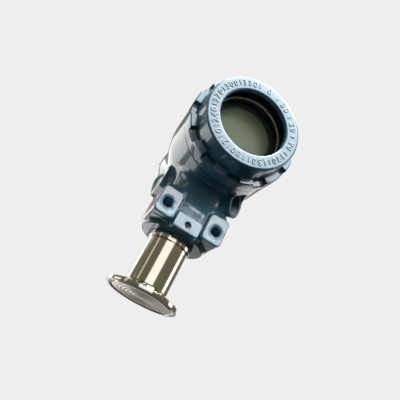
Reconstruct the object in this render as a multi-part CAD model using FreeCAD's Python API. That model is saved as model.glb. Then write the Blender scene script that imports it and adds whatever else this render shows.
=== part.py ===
import FreeCAD, Part
import math
import os

# Hygienic pressure transmitter: a two-compartment cast housing on a stainless neck that ends in a clamp
# ferrule. Millimetres. The origin is the centre of the ferrule's sealing face, +Z runs up the neck, and
# the display looks towards -Y.

V = FreeCAD.Vector
UP = V(0, 0, 1)
FRONT = V(0, -1, 0)
BACK = V(0, 1, 0)

# --- Driving dimensions ------------------------------------------------------------------------------
# Process connection, for a 64 mm clamp union.
FERRULE_R = 32.0
FERRULE_RIM = 3.4
FERRULE_TAPER_DEG = 20.0
GROOVE_MEAN_R = 28.1
GROOVE_R = 1.6
DIAPHRAGM_R = 25.4
DIAPHRAGM_T = 0.3
DIAPHRAGM_WAVES = 6
DIAPHRAGM_WAVE_H = 0.45
CHAMBER_DEPTH = 0.6
FERRULE_WEB = 3.0

# Neck tube with the collar that turns in the housing.
TUBE_R = 18.65
TUBE_WALL = 3.2
COLLAR_R = 19.8
COLLAR_Z = 48.7
COLLAR_TOP_Z = 84.0
NECK_CLEARANCE = 0.05
SEAL_GROOVE_W = 3.0
SEAL_GROOVE_D = 1.7
SEAL_Z = 70.5
LOCK_GROOVE_W = 5.4
LOCK_GROOVE_D = 1.5

# Pressure sensor inside the neck.
CAPILLARY_R = 1.0
SENSOR_R = 9.5
SENSOR_H = 14.0
SENSOR_Z = 56.0
SENSOR_BOARD_T = 1.6
SENSOR_BOARD_GAP = 3.0
SENSOR_PIN_R = 0.5
SEAT_T = 3.0

# Housing casting.
AXIS_Z = 150.6
BASE_Z = 55.4
BASE_R = 29.3
BLOCK_R = 31.5
BLOCK_Z = 78.0
BLOCK_TOP_R = 34.0
FRONT_FACE = 49.6
REAR_FACE = 48.0
FRONT_R = 48.7
FRONT_BAND = 40.0
REAR_R = 42.5
WAIST_ROUND = 40.0
WAIST_LEAD = 8.0
REAR_BAND = 18.0
BLOCK_ROUND = 30.0
BLOCK_SINK = 22.0
BLEND_R = 7.0
MOUTH_CHAMFER = 0.6
FACE_ROUND = 0.8
PARTITION_Y = 2.0
PARTITION_T = 6.0
FRONT_ROOM_STEP = 4.0
REAR_ROOM_STEP = 3.0

# Mounting lugs and the pad between them.
LUG_PITCH = 46.8
LUG_Z = 70.1
LUG_FACE = 35.1
LUG_W = 18.5
LUG_BOTTOM = 58.7
LUG_TOP = 84.2
LUG_CORNER = 3.5
LUG_ROOT_Y = -2.0
PAD_ROOT_Y = -10.0
LUG_INNER = 13.5
LUG_HOLE_R = 4.25
LUG_HOLE_DEPTH = 14.0
LUG_CHAMFER = 2.2
PAD_HALF_W = 12.2
PAD_BOTTOM = 55.4
PAD_TOP = 69.4
PAD_Z = 61.8
PAD_CORNER = 4.5
PAD_TOP_CORNER = 0.8
EDGE_ROUND = 1.8

# Conduit entries, in line with each other across the neck.
CONDUIT_DEG = 42.0
CONDUIT_Z = 107.0
CONDUIT_REACH = 42.0
CONDUIT_R = 13.2
CONDUIT_HOLE_R = 9.6
CONDUIT_DEPTH = 16.0
CONDUIT_LEAD = 1.0
CONDUIT_ROUND = 2.0
ENTRY_RELIEF = 1.0
ENTRY_RELIEF_L = 14.0
WIRE_WAY_R = 5.0
WIRE_WAY_IN = 13.0
WIRE_WAY_H = 18.6

# Threads of the two covers.
FRONT_LAND = 4.7
REAR_LAND = 4.0
THREAD_DEPTH = 15.6
SPIGOT_L = 13.8
THREAD_CLEARANCE = 0.08
COVER_GAP = 0.8
SEAL_W = 2.4
SEAL_H = 2.2
SEAL_ROOM = 0.1
SEAL_INSET = 0.5
SEAL_ROUND = 0.6

# Display cover.
COVER_PROUD = 0.6
BAND_W = 9.6
TOOTH_W = 4.8
TOOTH_ROUND = 1.6
FLANGE_ROUND = 0.4
NOTCHES = 12
NOTCH_DEG = 14.3
NOTCH_PHASE_DEG = 19.2
NOTCH_CORNER = 1.5
COVER_NOSE_STEP = 6.9
COVER_ROOT_STEP = 5.7
COVER_NOSE_Y = 81.4
NOSE_ROUND = 1.5
COVER_WALL = 4.4
WINDOW_R = 30.2
WINDOW_CHAMFER = 1.6
WINDOW_LIP = 4.0
POCKET_STEP = 3.8
GLASS_T = 10.0
GASKET_WALL = 1.6
RING_T = 4.6
RING_BORE_STEP = 0.8
RING_EDGE = 0.5
CAVITY_ROUND = 2.0
SPIGOT_EDGE = 0.8
RING_SLOTS = 2
RING_SLOT_W = 3.0

# Rear cover.
REAR_COVER_PROUD = 0.3
REAR_BAND_W = 9.0
REAR_TOOTH_W = 6.4
REAR_NOSE_STEP = 6.4
REAR_NOSE_ROUND = 3.0
REAR_NOSE_L = 24.0
REAR_COVER_WALL = 3.4
REAR_END_T = 4.5
REAR_DOME_STEP = 4.0

# Display stack.
SCREEN_Y = 58.0
SCREEN_R = 27.6
SCREEN_T = 2.4
BEZEL_R = 33.0
BEZEL_DEPTH = 8.0
BEZEL_LIP = 0.8
BEZEL_WALL = 2.0
BOARD_T = 1.6
DISPLAY_BOARD_R = 32.0
DISPLAY_SCREWS = 3
DISPLAY_PITCH_R = 30.2
STANDOFF_R = 2.6
SCREW_R = 1.4
SCREW_HEAD_R = 2.6
SCREW_HEAD_T = 1.8

# Electronics module.
MODULE_ROOM = 3.0
MODULE_FRONT = 30.0
MODULE_SEAT_GAP = 4.0
MODULE_SCREWS = 3
MODULE_PITCH_STEP = 5.5
MODULE_EAR_T = 4.0
MODULE_BOSS_R = 4.5
MODULE_THREAD = 6.0

# Terminal block.
TERMINAL_ROOM = 5.5
TERMINAL_BACK = 12.0
TERMINAL_FACE = 27.0
TERMINAL_COUNT = 3
TERMINAL_STEP = 15.0
TERMINAL_WELL = 11.0
TERMINAL_WELL_DEPTH = 8.0
TERMINAL_SCREW_R = 2.0
TERMINAL_HEAD_R = 3.6
TERMINAL_HEAD_T = 2.6
TERMINAL_PLATE = 8.4
TERMINAL_PLATE_T = 1.2
TERMINAL_FIX_EDGE = 1.6
TERMINAL_FIX_DEPTH = 4.0
TERMINAL_THREAD = 5.0
FIX_THREAD = 6.0
HEAD_ROOM = 0.6
TERMINAL_FIX_R = 3.6

# Grounding point in the rear compartment.
GROUND_X = 14.0
GROUND_BOSS_R = 5.0
GROUND_ROOM = 9.0
GROUND_GAP = 0.3
GROUND_BOSS_FACE = 26.0
GROUND_SCREW_R = 2.0
GROUND_HEAD_R = 3.8
GROUND_HEAD_T = 2.8
GROUND_PLATE_T = 1.0
GROUND_THREAD = 8.0

# Rotation lock.
LOCK_R = 2.5
LOCK_LENGTH = 12.0
LOCK_SOCKET_R = 1.3
LOCK_SOCKET_DEPTH = 3.0
LOCK_TIP_R = 1.6

# --- Sizes that follow -------------------------------------------------------------------------------
NECK_BORE_R = COLLAR_R + NECK_CLEARANCE
TUBE_BORE_R = TUBE_R - TUBE_WALL
TAPER_RISE = (FERRULE_R - TUBE_R) * math.tan(math.radians(FERRULE_TAPER_DEG))
FERRULE_TOP = FERRULE_RIM + TAPER_RISE
FRONT_THREAD_R = FRONT_R - FRONT_LAND
REAR_THREAD_R = REAR_R - REAR_LAND
FRONT_ROOM_R = FRONT_THREAD_R - FRONT_ROOM_STEP
REAR_ROOM_R = REAR_THREAD_R - REAR_ROOM_STEP
FRONT_SPIGOT_R = FRONT_THREAD_R - THREAD_CLEARANCE
REAR_SPIGOT_R = REAR_THREAD_R - THREAD_CLEARANCE
COVER_R = FRONT_R + COVER_PROUD
COVER_NOSE_R = COVER_R - COVER_NOSE_STEP
COVER_ROOT_R = COVER_R - COVER_ROOT_STEP
REAR_COVER_R = REAR_R + REAR_COVER_PROUD
REAR_NOSE_R = REAR_COVER_R - REAR_NOSE_STEP
SEAL_OUTER_R = FRONT_R - SEAL_INSET
REAR_SEAL_OUTER_R = REAR_R - SEAL_INSET
SEAL_DEPTH = SEAL_H - COVER_GAP
POCKET_R = WINDOW_R + POCKET_STEP
RING_BORE_R = WINDOW_R + RING_BORE_STEP
FLANGE_Y = FRONT_FACE + COVER_GAP
REAR_FLANGE_Y = REAR_FACE + COVER_GAP
GLASS_FRONT = COVER_NOSE_Y - WINDOW_LIP
GLASS_BACK = GLASS_FRONT - GLASS_T
RING_BACK = GLASS_BACK - RING_T
GLASS_R = POCKET_R - GASKET_WALL
MODULE_R = FRONT_ROOM_R - MODULE_ROOM
MODULE_PITCH_R = MODULE_R - MODULE_PITCH_STEP
TERMINAL_R = REAR_ROOM_R - TERMINAL_ROOM
GROUND_DROP = REAR_ROOM_R - GROUND_ROOM
TERMINAL_FLAT = GROUND_DROP - GROUND_BOSS_R - GROUND_GAP
TERMINAL_FIX_Z = TERMINAL_FLAT - SCREW_HEAD_R - TERMINAL_FIX_EDGE
BOARD_FRONT = SCREEN_Y + BEZEL_LIP - BEZEL_DEPTH
BOARD_BACK = BOARD_FRONT - BOARD_T
PARTITION_FRONT = PARTITION_Y - PARTITION_T / 2
PARTITION_REAR = PARTITION_Y + PARTITION_T / 2
CONDUIT_DIR = V(math.cos(math.radians(CONDUIT_DEG)), -math.sin(math.radians(CONDUIT_DEG)), 0)


# --- Helpers -----------------------------------------------------------------------------------------
def outline(corners):
    """A closed outline through (a, b) or (a, b, radius) corners; corners with a radius are rounded."""
    pieces = []
    count = len(corners)
    for i in range(count):
        before = corners[i - 1]
        here = corners[i]
        after = corners[(i + 1) % count]
        pieces.append(corner_points(before, here, after))
    edges = []
    for i in range(count):
        if len(pieces[i]) == 3:
            start, middle, end = pieces[i]
            edges.append(Part.Arc(start, middle, end).toShape())
        start = pieces[i][-1]
        end = pieces[(i + 1) % count][0]
        if (end - start).Length > 1e-6:
            edges.append(Part.LineSegment(start, end).toShape())
    return Part.Wire(edges)


def corner_points(before, here, after):
    """The corner itself, or the start, middle and end of its rounding arc."""
    point = V(here[0], here[1], 0)
    if len(here) < 3 or here[2] <= 0:
        return [point]
    to_before = (V(before[0], before[1], 0) - point).normalize()
    to_after = (V(after[0], after[1], 0) - point).normalize()
    half = to_before.getAngle(to_after) / 2
    reach = here[2] / math.tan(half)
    bisector = (to_before + to_after).normalize()
    depth = here[2] / math.sin(half) - here[2]
    return [point + to_before * reach, point + bisector * depth, point + to_after * reach]


def turned(corners, axis, level=0.0):
    """A turned solid. Corners are (radius, distance along the axis); the axis is UP or BACK."""
    face = Part.Face(outline(corners))
    face = face.revolve(V(0, 0, 0), V(0, 1, 0), 360)
    if axis == UP:
        face.rotate(V(0, 0, 0), V(1, 0, 0), 90)
    face.translate(V(0, 0, level))
    return one_solid(face)


def one_solid(shape):
    """The shape as a plain solid, turned the right way out."""
    solid = shape if shape.ShapeType == "Solid" else shape.Solids[0]
    if solid.Volume < 0:
        solid.reverse()
    return solid


def rod(radius, length, base, direction):
    return Part.makeCylinder(radius, length, base, direction)


def tube(outer, inner, length, base, direction):
    return rod(outer, length, base, direction).cut(rod(inner, length, base, direction))


def block(x0, x1, y0, y1, z0, z1):
    return Part.makeBox(x1 - x0, y1 - y0, z1 - z0, V(x0, y0, z0))


def around(count, radius, start_deg=90.0):
    """Points (x, z offset) spread evenly on a circle about the display axis."""
    points = []
    for i in range(count):
        angle = math.radians(start_deg + 360.0 * i / count)
        points.append((radius * math.cos(angle), radius * math.sin(angle)))
    return points


def on_axis(y, x=0.0, dz=0.0):
    """A point given from the covers' common axis."""
    return V(x, y, AXIS_Z + dz)


def pan_screw(head_r, head_t, shank_r, shank_l, seat, direction):
    """A pan-head screw: the head's underside is at seat, the head lies along direction."""
    head = rod(head_r, head_t, seat, direction)
    edges = [e for e in head.Edges if abs(e.CenterOfMass.sub(seat).dot(direction) - head_t) < 1e-6]
    head = head.makeFillet(head_t * 0.45, edges)
    slot_depth = head_t * 0.45
    slot = Part.makeBox(2.4 * head_r, 0.32 * head_r, slot_depth, V(-1.2 * head_r, -0.16 * head_r, 0))
    slot.Placement = FreeCAD.Placement(seat + direction * (head_t - slot_depth), turn_to(direction))
    shank = rod(shank_r, shank_l, seat - direction * shank_l, direction)
    return head.cut(slot).fuse(shank).removeSplitter()


def turn_to(direction):
    return FreeCAD.Rotation(UP, direction)


# --- Process connection ------------------------------------------------------------------------------
def clamp_ferrule():
    """Ferrule with a gasket groove, a shallow oil chamber and the capillary's hole in its web."""
    body = turned([
        (0, CHAMBER_DEPTH),
        (DIAPHRAGM_R - 1.0, CHAMBER_DEPTH),
        (DIAPHRAGM_R, DIAPHRAGM_T),
        (DIAPHRAGM_R, 0),
        (FERRULE_R, 0, 0.5),
        (FERRULE_R, FERRULE_RIM, 0.4),
        (TUBE_R, FERRULE_TOP),
        (TUBE_BORE_R, FERRULE_TOP),
        (TUBE_BORE_R, CHAMBER_DEPTH + FERRULE_WEB),
        (0, CHAMBER_DEPTH + FERRULE_WEB),
    ], UP)
    groove = Part.makeTorus(GROOVE_MEAN_R, GROOVE_R, V(0, 0, 0), UP)
    hole = rod(CAPILLARY_R, FERRULE_WEB, V(0, 0, CHAMBER_DEPTH), UP)
    return body.cut(groove).cut(hole)


def process_diaphragm():
    """Thin corrugated foil, welded round its edge and flush with the sealing face."""
    pitch = (DIAPHRAGM_R - 6.0) / DIAPHRAGM_WAVES
    lower = [(0.0, DIAPHRAGM_T)]
    radius = 4.0
    for i in range(DIAPHRAGM_WAVES):
        lower.append((radius, DIAPHRAGM_T))
        lower.append((radius + pitch * 0.5, DIAPHRAGM_T - DIAPHRAGM_WAVE_H * 0.5))
        radius += pitch
    lower.append((DIAPHRAGM_R - 1.0, DIAPHRAGM_T))
    lower = [(r, z - DIAPHRAGM_T + DIAPHRAGM_WAVE_H * 0.5) for r, z in lower]
    upper = [(r, z + DIAPHRAGM_T * 0.5) for r, z in reversed(lower)]
    rim = [(DIAPHRAGM_R, 0.0), (DIAPHRAGM_R, DIAPHRAGM_T)]
    return turned(lower + rim + upper, UP)


def neck_tube():
    """Tube and collar, turned as one, with grooves for the seal and the lock screw."""
    seal_low = SEAL_Z - SEAL_GROOVE_W / 2
    seal_high = SEAL_Z + SEAL_GROOVE_W / 2
    lock_low = PAD_Z - LOCK_GROOVE_W / 2
    lock_high = PAD_Z + LOCK_GROOVE_W / 2
    return turned([
        (TUBE_BORE_R, FERRULE_TOP),
        (TUBE_R, FERRULE_TOP),
        (TUBE_R, COLLAR_Z, 0.5),
        (COLLAR_R, COLLAR_Z, 0.6),
        (COLLAR_R, lock_low),
        (COLLAR_R - LOCK_GROOVE_D, lock_low),
        (COLLAR_R - LOCK_GROOVE_D, lock_high),
        (COLLAR_R, lock_high),
        (COLLAR_R, seal_low),
        (COLLAR_R - SEAL_GROOVE_D, seal_low),
        (COLLAR_R - SEAL_GROOVE_D, seal_high),
        (COLLAR_R, seal_high),
        (COLLAR_R, COLLAR_TOP_Z, 1.0),
        (TUBE_BORE_R, COLLAR_TOP_Z),
    ], UP)


def neck_o_ring():
    inner = COLLAR_R - SEAL_GROOVE_D
    half = SEAL_GROOVE_W / 2 - SEAL_ROOM
    return turned([
        (inner, SEAL_Z - half, 0.5),
        (COLLAR_R, SEAL_Z - half, 0.5),
        (COLLAR_R, SEAL_Z + half, 0.5),
        (inner, SEAL_Z + half, 0.5),
    ], UP)


def capillary_tube():
    foot = CHAMBER_DEPTH
    return rod(CAPILLARY_R, SENSOR_Z - foot, V(0, 0, foot), UP)


def pressure_sensor():
    """Sensor capsule with a stepped header and four pins on top."""
    header_r = SENSOR_R * 0.7
    body = turned([
        (0, SENSOR_Z),
        (SENSOR_R, SENSOR_Z, 0.8),
        (SENSOR_R, SENSOR_Z + SENSOR_H * 0.7, 0.8),
        (header_r, SENSOR_Z + SENSOR_H * 0.7),
        (header_r, SENSOR_Z + SENSOR_H, 0.5),
        (0, SENSOR_Z + SENSOR_H),
    ], UP)
    for x, y in around(4, header_r * 0.6, 45.0):
        body = body.fuse(rod(SENSOR_PIN_R, SENSOR_BOARD_GAP, V(x, y, SENSOR_Z + SENSOR_H), UP))
    return body.removeSplitter()


def sensor_seat():
    """Ring welded into the tube, which holds the capsule."""
    low = SENSOR_Z + SENSOR_H * 0.3
    return tube(TUBE_BORE_R, SENSOR_R, SEAT_T, V(0, 0, low), UP)


def sensor_board():
    low = SENSOR_Z + SENSOR_H + SENSOR_BOARD_GAP
    return rod(SENSOR_R + 2.0, SENSOR_BOARD_T, V(0, 0, low), UP)


# --- Housing casting ---------------------------------------------------------------------------------
def housing_barrel():
    """Barrel of the casting: a straight front band, then a waisted rear end."""
    band_end = -FRONT_FACE + FRONT_BAND
    waist_r = (FRONT_R + REAR_R) / 2
    waist_y = (band_end + REAR_FACE) / 2
    return turned([
        (0, -FRONT_FACE),
        (FRONT_R, -FRONT_FACE, FACE_ROUND),
        (FRONT_R, band_end, WAIST_ROUND / 2),
        (waist_r, waist_y - WAIST_LEAD, WAIST_ROUND),
        (REAR_R, REAR_FACE - REAR_BAND, WAIST_ROUND),
        (REAR_R, REAR_FACE, FACE_ROUND),
        (0, REAR_FACE),
    ], BACK, AXIS_Z)


def housing_block():
    """Round block under the barrel, with casting draft."""
    top = AXIS_Z - REAR_R + BLOCK_SINK
    return turned([
        (0, BASE_Z),
        (BASE_R, BASE_Z, FACE_ROUND),
        (BLOCK_R, BLOCK_Z, BLOCK_ROUND),
        (BLOCK_TOP_R, top),
        (0, top),
    ], UP)


def rounded_box(x0, x1, z0, z1, radii, back_y, face_y):
    """A prism along Y with rounded corners and a softened front edge."""
    low_r, high_r = radii
    wire = outline([(x0, z0, low_r), (x1, z0, low_r), (x1, z1, high_r), (x0, z1, high_r)])
    face = Part.Face(wire)
    face.rotate(V(0, 0, 0), V(1, 0, 0), 90)
    face.translate(V(0, back_y, 0))
    solid = face.extrude(V(0, face_y - back_y, 0))
    front = [e for e in solid.Edges if abs(e.BoundBox.YMin - face_y) < 1e-6 and e.BoundBox.YLength < 1e-6]
    return solid.makeFillet(EDGE_ROUND, front)


def mounting_lug(side):
    inner = LUG_INNER
    outer = LUG_INNER + LUG_W
    x0 = min(side * inner, side * outer)
    x1 = max(side * inner, side * outer)
    return rounded_box(x0, x1, LUG_BOTTOM, LUG_TOP, (LUG_CORNER, LUG_CORNER), LUG_ROOT_Y, -LUG_FACE)


def lock_pad():
    corners = (PAD_CORNER, PAD_TOP_CORNER)
    return rounded_box(-PAD_HALF_W, PAD_HALF_W, PAD_BOTTOM, PAD_TOP, corners, PAD_ROOT_Y, -LUG_FACE)


def conduit_boss(side):
    """One conduit boss, from the neck's centre out to its machined end."""
    out = CONDUIT_DIR * side
    boss = rod(CONDUIT_R, CONDUIT_REACH, V(0, 0, CONDUIT_Z), out)
    tip = V(0, 0, CONDUIT_Z) + out * CONDUIT_REACH
    rim = [e for e in boss.Edges if (e.CenterOfMass - tip).Length < 0.01]
    return boss.makeFillet(CONDUIT_ROUND, rim)


def conduit_cuts(side):
    """The threaded entry, room for a gland beside the barrel, and the way up into its compartment."""
    out = CONDUIT_DIR * side
    mouth = V(0, 0, CONDUIT_Z) + out * CONDUIT_REACH
    hole = rod(CONDUIT_HOLE_R, CONDUIT_DEPTH, mouth - out * CONDUIT_DEPTH, out)
    lead_start = mouth - out * CONDUIT_LEAD
    lead = Part.makeCone(CONDUIT_HOLE_R, CONDUIT_HOLE_R + CONDUIT_LEAD, CONDUIT_LEAD, lead_start, out)
    relief = rod(CONDUIT_HOLE_R + ENTRY_RELIEF, ENTRY_RELIEF_L, mouth, out)
    way = rod(WIRE_WAY_R, WIRE_WAY_H, mouth - out * WIRE_WAY_IN, UP)
    return hole.fuse([lead, relief, way])


def compartment_cuts():
    """Front and rear compartments with their thread bores."""
    front = rod(FRONT_ROOM_R, FRONT_FACE + PARTITION_FRONT, on_axis(-FRONT_FACE), BACK)
    front_thread = rod(FRONT_THREAD_R, THREAD_DEPTH, on_axis(-FRONT_FACE), BACK)
    rear = rod(REAR_ROOM_R, REAR_FACE - PARTITION_REAR, on_axis(PARTITION_REAR), BACK)
    rear_thread = rod(REAR_THREAD_R, THREAD_DEPTH, on_axis(REAR_FACE - THREAD_DEPTH), BACK)
    return front.fuse([front_thread, rear, rear_thread])


def neck_cuts():
    """Bore for the collar, its mouth chamfer, and the sensor cable's way into the front compartment."""
    bore = rod(NECK_BORE_R, COLLAR_TOP_Z + 1.0 - BASE_Z, V(0, 0, BASE_Z), UP)
    mouth = Part.makeCone(NECK_BORE_R + MOUTH_CHAMFER, NECK_BORE_R, MOUTH_CHAMFER, V(0, 0, BASE_Z), UP)
    way_top = AXIS_Z - FRONT_ROOM_R + 3.0
    way = rod(TUBE_BORE_R - 4.0, way_top - COLLAR_TOP_Z, V(0, 0, COLLAR_TOP_Z), UP)
    return bore.fuse([mouth, way])


def lug_cuts(side):
    mouth = V(side * LUG_PITCH / 2, -LUG_FACE, LUG_Z)
    hole = rod(LUG_HOLE_R, LUG_HOLE_DEPTH, mouth, BACK)
    chamfer = Part.makeCone(LUG_HOLE_R + LUG_CHAMFER, LUG_HOLE_R, LUG_CHAMFER * 0.6, mouth, BACK)
    return hole.fuse(chamfer)


def lock_cut():
    mouth = V(0, -LUG_FACE, PAD_Z)
    return rod(LOCK_R, LUG_FACE - NECK_BORE_R + 1.0, mouth, BACK)


def module_bosses():
    """Bosses on the partition that carry the electronics module."""
    bosses = []
    for x, dz in around(MODULE_SCREWS, MODULE_PITCH_R):
        post = rod(MODULE_BOSS_R, MODULE_SEAT_GAP, on_axis(PARTITION_FRONT, x, dz), FRONT)
        bosses.append(post)
    return bosses


def terminal_bosses():
    """Bosses on the partition that carry the terminal block."""
    length = TERMINAL_BACK - PARTITION_REAR
    return [rod(TERMINAL_FIX_R, length, on_axis(PARTITION_REAR, 0, side * TERMINAL_FIX_Z), BACK)
            for side in (-1, 1)]


def ground_boss():
    length = GROUND_BOSS_FACE - PARTITION_REAR
    return rod(GROUND_BOSS_R, length, on_axis(PARTITION_REAR, GROUND_X, -GROUND_DROP), BACK)


def screw_holes():
    """Blind holes in the bosses, each the size of its screw."""
    holes = []
    for x, dz in around(MODULE_SCREWS, MODULE_PITCH_R):
        seat = on_axis(PARTITION_FRONT - MODULE_SEAT_GAP, x, dz)
        holes.append(rod(SCREW_R, MODULE_THREAD, seat, BACK))
    for side in (-1, 1):
        base = on_axis(TERMINAL_BACK, 0, side * TERMINAL_FIX_Z)
        holes.append(rod(SCREW_R, FIX_THREAD, base, FRONT))
    base = on_axis(GROUND_BOSS_FACE, GROUND_X, -GROUND_DROP)
    holes.append(rod(GROUND_SCREW_R, GROUND_THREAD, base, FRONT))
    return holes


def housing():
    """The whole casting, machined."""
    body = housing_barrel().fuse(housing_block())
    body = blended(body)
    outside = [mounting_lug(-1), mounting_lug(1), lock_pad(), conduit_boss(-1), conduit_boss(1)]
    body = body.fuse(outside)
    body = body.cut([compartment_cuts(), neck_cuts()])
    body = body.fuse(module_bosses() + terminal_bosses() + [ground_boss()])
    cuts = [conduit_cuts(-1), conduit_cuts(1), lug_cuts(-1), lug_cuts(1), lock_cut()]
    body = body.cut(cuts + screw_holes())
    return body.removeSplitter()


def blended(body):
    """Round the inside corner where the block runs into the barrel."""
    seam = [e for e in body.Edges if on_seam(e)]
    return body.makeFillet(BLEND_R, seam)


def on_seam(edge):
    middle = edge.valueAt((edge.FirstParameter + edge.LastParameter) / 2)
    radius = math.hypot(middle.x, middle.y)
    return BLOCK_R - 1.0 < radius < BLOCK_TOP_R + 1.0 and BLOCK_Z < middle.z < AXIS_Z


# --- Covers ------------------------------------------------------------------------------------------
def notch_cutters(outer_r, root_r, y0, y1):
    """Radial wrench notches round a cover, each with two rounded root corners."""
    cutters = []
    half = math.radians(NOTCH_DEG / 2)
    side_in = root_r * math.sin(half)
    side_out = (outer_r + 2.0) * math.sin(half)
    wire = outline([
        (root_r, -side_in, NOTCH_CORNER),
        (outer_r + 2.0, -side_out),
        (outer_r + 2.0, side_out),
        (root_r, side_in, NOTCH_CORNER),
    ])
    for i in range(NOTCHES):
        face = Part.Face(wire)
        face.rotate(V(0, 0, 0), V(1, 0, 0), 90)
        cutter = face.extrude(V(0, y1 - y0, 0))
        cutter.rotate(V(0, 0, 0), BACK, NOTCH_PHASE_DEG + 360.0 * i / NOTCHES)
        cutter.translate(on_axis(y0))
        cutters.append(cutter)
    return cutters


def display_cover():
    """Castellated cover with a round window opening, a glass pocket and a threaded spigot."""
    teeth_y = FLANGE_Y + BAND_W + TOOTH_W
    groove_out = SEAL_OUTER_R + SEAL_ROOM
    groove_in = SEAL_OUTER_R - SEAL_W - SEAL_ROOM
    cavity_r = FRONT_SPIGOT_R - COVER_WALL
    spigot_end = FLANGE_Y - SPIGOT_L
    body = turned([
        (WINDOW_R, -GLASS_FRONT),
        (WINDOW_R, -COVER_NOSE_Y, WINDOW_CHAMFER),
        (COVER_NOSE_R, -COVER_NOSE_Y, NOSE_ROUND),
        (COVER_ROOT_R, -teeth_y),
        (COVER_R, -teeth_y, TOOTH_ROUND),
        (COVER_R, -FLANGE_Y, FLANGE_ROUND),
        (groove_out, -FLANGE_Y),
        (groove_out, -FLANGE_Y - SEAL_DEPTH),
        (groove_in, -FLANGE_Y - SEAL_DEPTH),
        (groove_in, -FLANGE_Y),
        (FRONT_SPIGOT_R, -FLANGE_Y),
        (FRONT_SPIGOT_R, -spigot_end, SPIGOT_EDGE),
        (cavity_r, -spigot_end, SPIGOT_EDGE),
        (cavity_r, -RING_BACK, CAVITY_ROUND),
        (POCKET_R, -RING_BACK),
        (POCKET_R, -GLASS_FRONT),
    ], BACK, AXIS_Z)
    return body.cut(notch_cutters(COVER_R, COVER_ROOT_R, -teeth_y - 1.0, -FLANGE_Y - BAND_W))


def window_glass():
    return rod(GLASS_R, GLASS_T, on_axis(-GLASS_FRONT), BACK)


def window_gasket():
    return tube(POCKET_R, GLASS_R, GLASS_T, on_axis(-GLASS_FRONT), BACK)


def window_retaining_ring():
    """Threaded ring behind the glass, with two spanner slots."""
    ring = turned([
        (RING_BORE_R, -GLASS_BACK),
        (POCKET_R, -GLASS_BACK),
        (POCKET_R, -RING_BACK, RING_EDGE),
        (RING_BORE_R, -RING_BACK, RING_EDGE),
    ], BACK, AXIS_Z)
    for i in range(RING_SLOTS):
        slot = block(RING_BORE_R - 1.0, POCKET_R + 1.0, -1.5, 1.0, -RING_SLOT_W / 2, RING_SLOT_W / 2)
        slot.rotate(V(0, 0, 0), BACK, 360.0 * i / RING_SLOTS)
        slot.translate(on_axis(-RING_BACK))
        ring = ring.cut(slot)
    return ring


def cover_seal(outer, face_y, side):
    """Squeezed O-ring between a cover and the casting's end face; side is -1 in front, 1 behind."""
    inner = outer - SEAL_W
    low = side * face_y
    high = side * (face_y + SEAL_H)
    return turned([
        (inner, low, SEAL_ROUND),
        (outer, low, SEAL_ROUND),
        (outer, high, SEAL_ROUND),
        (inner, high, SEAL_ROUND),
    ], BACK, AXIS_Z)


def rear_cover():
    """Blind castellated cover of the terminal compartment."""
    teeth_y = REAR_FLANGE_Y + REAR_BAND_W + REAR_TOOTH_W
    end_y = REAR_FLANGE_Y + REAR_NOSE_L
    groove_out = REAR_SEAL_OUTER_R + SEAL_ROOM
    groove_in = REAR_SEAL_OUTER_R - SEAL_W - SEAL_ROOM
    cavity_r = REAR_SPIGOT_R - REAR_COVER_WALL
    dome_r = REAR_NOSE_R - REAR_DOME_STEP
    spigot_end = REAR_FLANGE_Y - SPIGOT_L
    body = turned([
        (0, end_y - REAR_END_T),
        (dome_r - 1.0, end_y - REAR_END_T, CAVITY_ROUND),
        (dome_r, REAR_FLANGE_Y + REAR_BAND_W - 2.0, 1.0),
        (cavity_r, REAR_FLANGE_Y + REAR_BAND_W / 3, 1.0),
        (cavity_r, spigot_end, SPIGOT_EDGE),
        (REAR_SPIGOT_R, spigot_end, SPIGOT_EDGE),
        (REAR_SPIGOT_R, REAR_FLANGE_Y),
        (groove_in, REAR_FLANGE_Y),
        (groove_in, REAR_FLANGE_Y + SEAL_DEPTH),
        (groove_out, REAR_FLANGE_Y + SEAL_DEPTH),
        (groove_out, REAR_FLANGE_Y),
        (REAR_COVER_R, REAR_FLANGE_Y, FLANGE_ROUND),
        (REAR_COVER_R, teeth_y, TOOTH_ROUND),
        (REAR_NOSE_R, teeth_y),
        (REAR_NOSE_R, end_y, REAR_NOSE_ROUND),
        (0, end_y),
    ], BACK, AXIS_Z)
    return body.cut(notch_cutters(REAR_COVER_R, REAR_NOSE_R, teeth_y - REAR_TOOTH_W, teeth_y + 1.0))


# --- Display stack -----------------------------------------------------------------------------------
def display_screen():
    """Round liquid crystal cell."""
    return rod(SCREEN_R, SCREEN_T, on_axis(-SCREEN_Y), BACK)


def display_bezel():
    """Moulded cup round the cell, closed behind by the board, with columns for the long screws."""
    front = SCREEN_Y + BEZEL_LIP
    cup = turned([
        (SCREEN_R - 1.2, -front),
        (BEZEL_R, -front, 1.2),
        (BEZEL_R, -BOARD_FRONT),
        (BEZEL_R - BEZEL_WALL, -BOARD_FRONT),
        (BEZEL_R - BEZEL_WALL, -SCREEN_Y + SCREEN_T + 1.2),
        (SCREEN_R - 3.0, -SCREEN_Y + SCREEN_T + 1.2),
        (SCREEN_R - 3.0, -SCREEN_Y + SCREEN_T),
        (SCREEN_R, -SCREEN_Y + SCREEN_T),
        (SCREEN_R, -SCREEN_Y),
        (SCREEN_R - 1.2, -SCREEN_Y),
    ], BACK, AXIS_Z)
    return cup


def display_board():
    return rod(DISPLAY_BOARD_R, BOARD_T, on_axis(-BOARD_FRONT), BACK)


def display_standoffs():
    """Pillars from the electronics module up to the display's board."""
    length = BOARD_BACK - MODULE_FRONT
    return [rod(STANDOFF_R, length, on_axis(-BOARD_BACK, x, dz), BACK)
            for x, dz in around(DISPLAY_SCREWS, DISPLAY_PITCH_R * 0.8, 30.0)]


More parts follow.
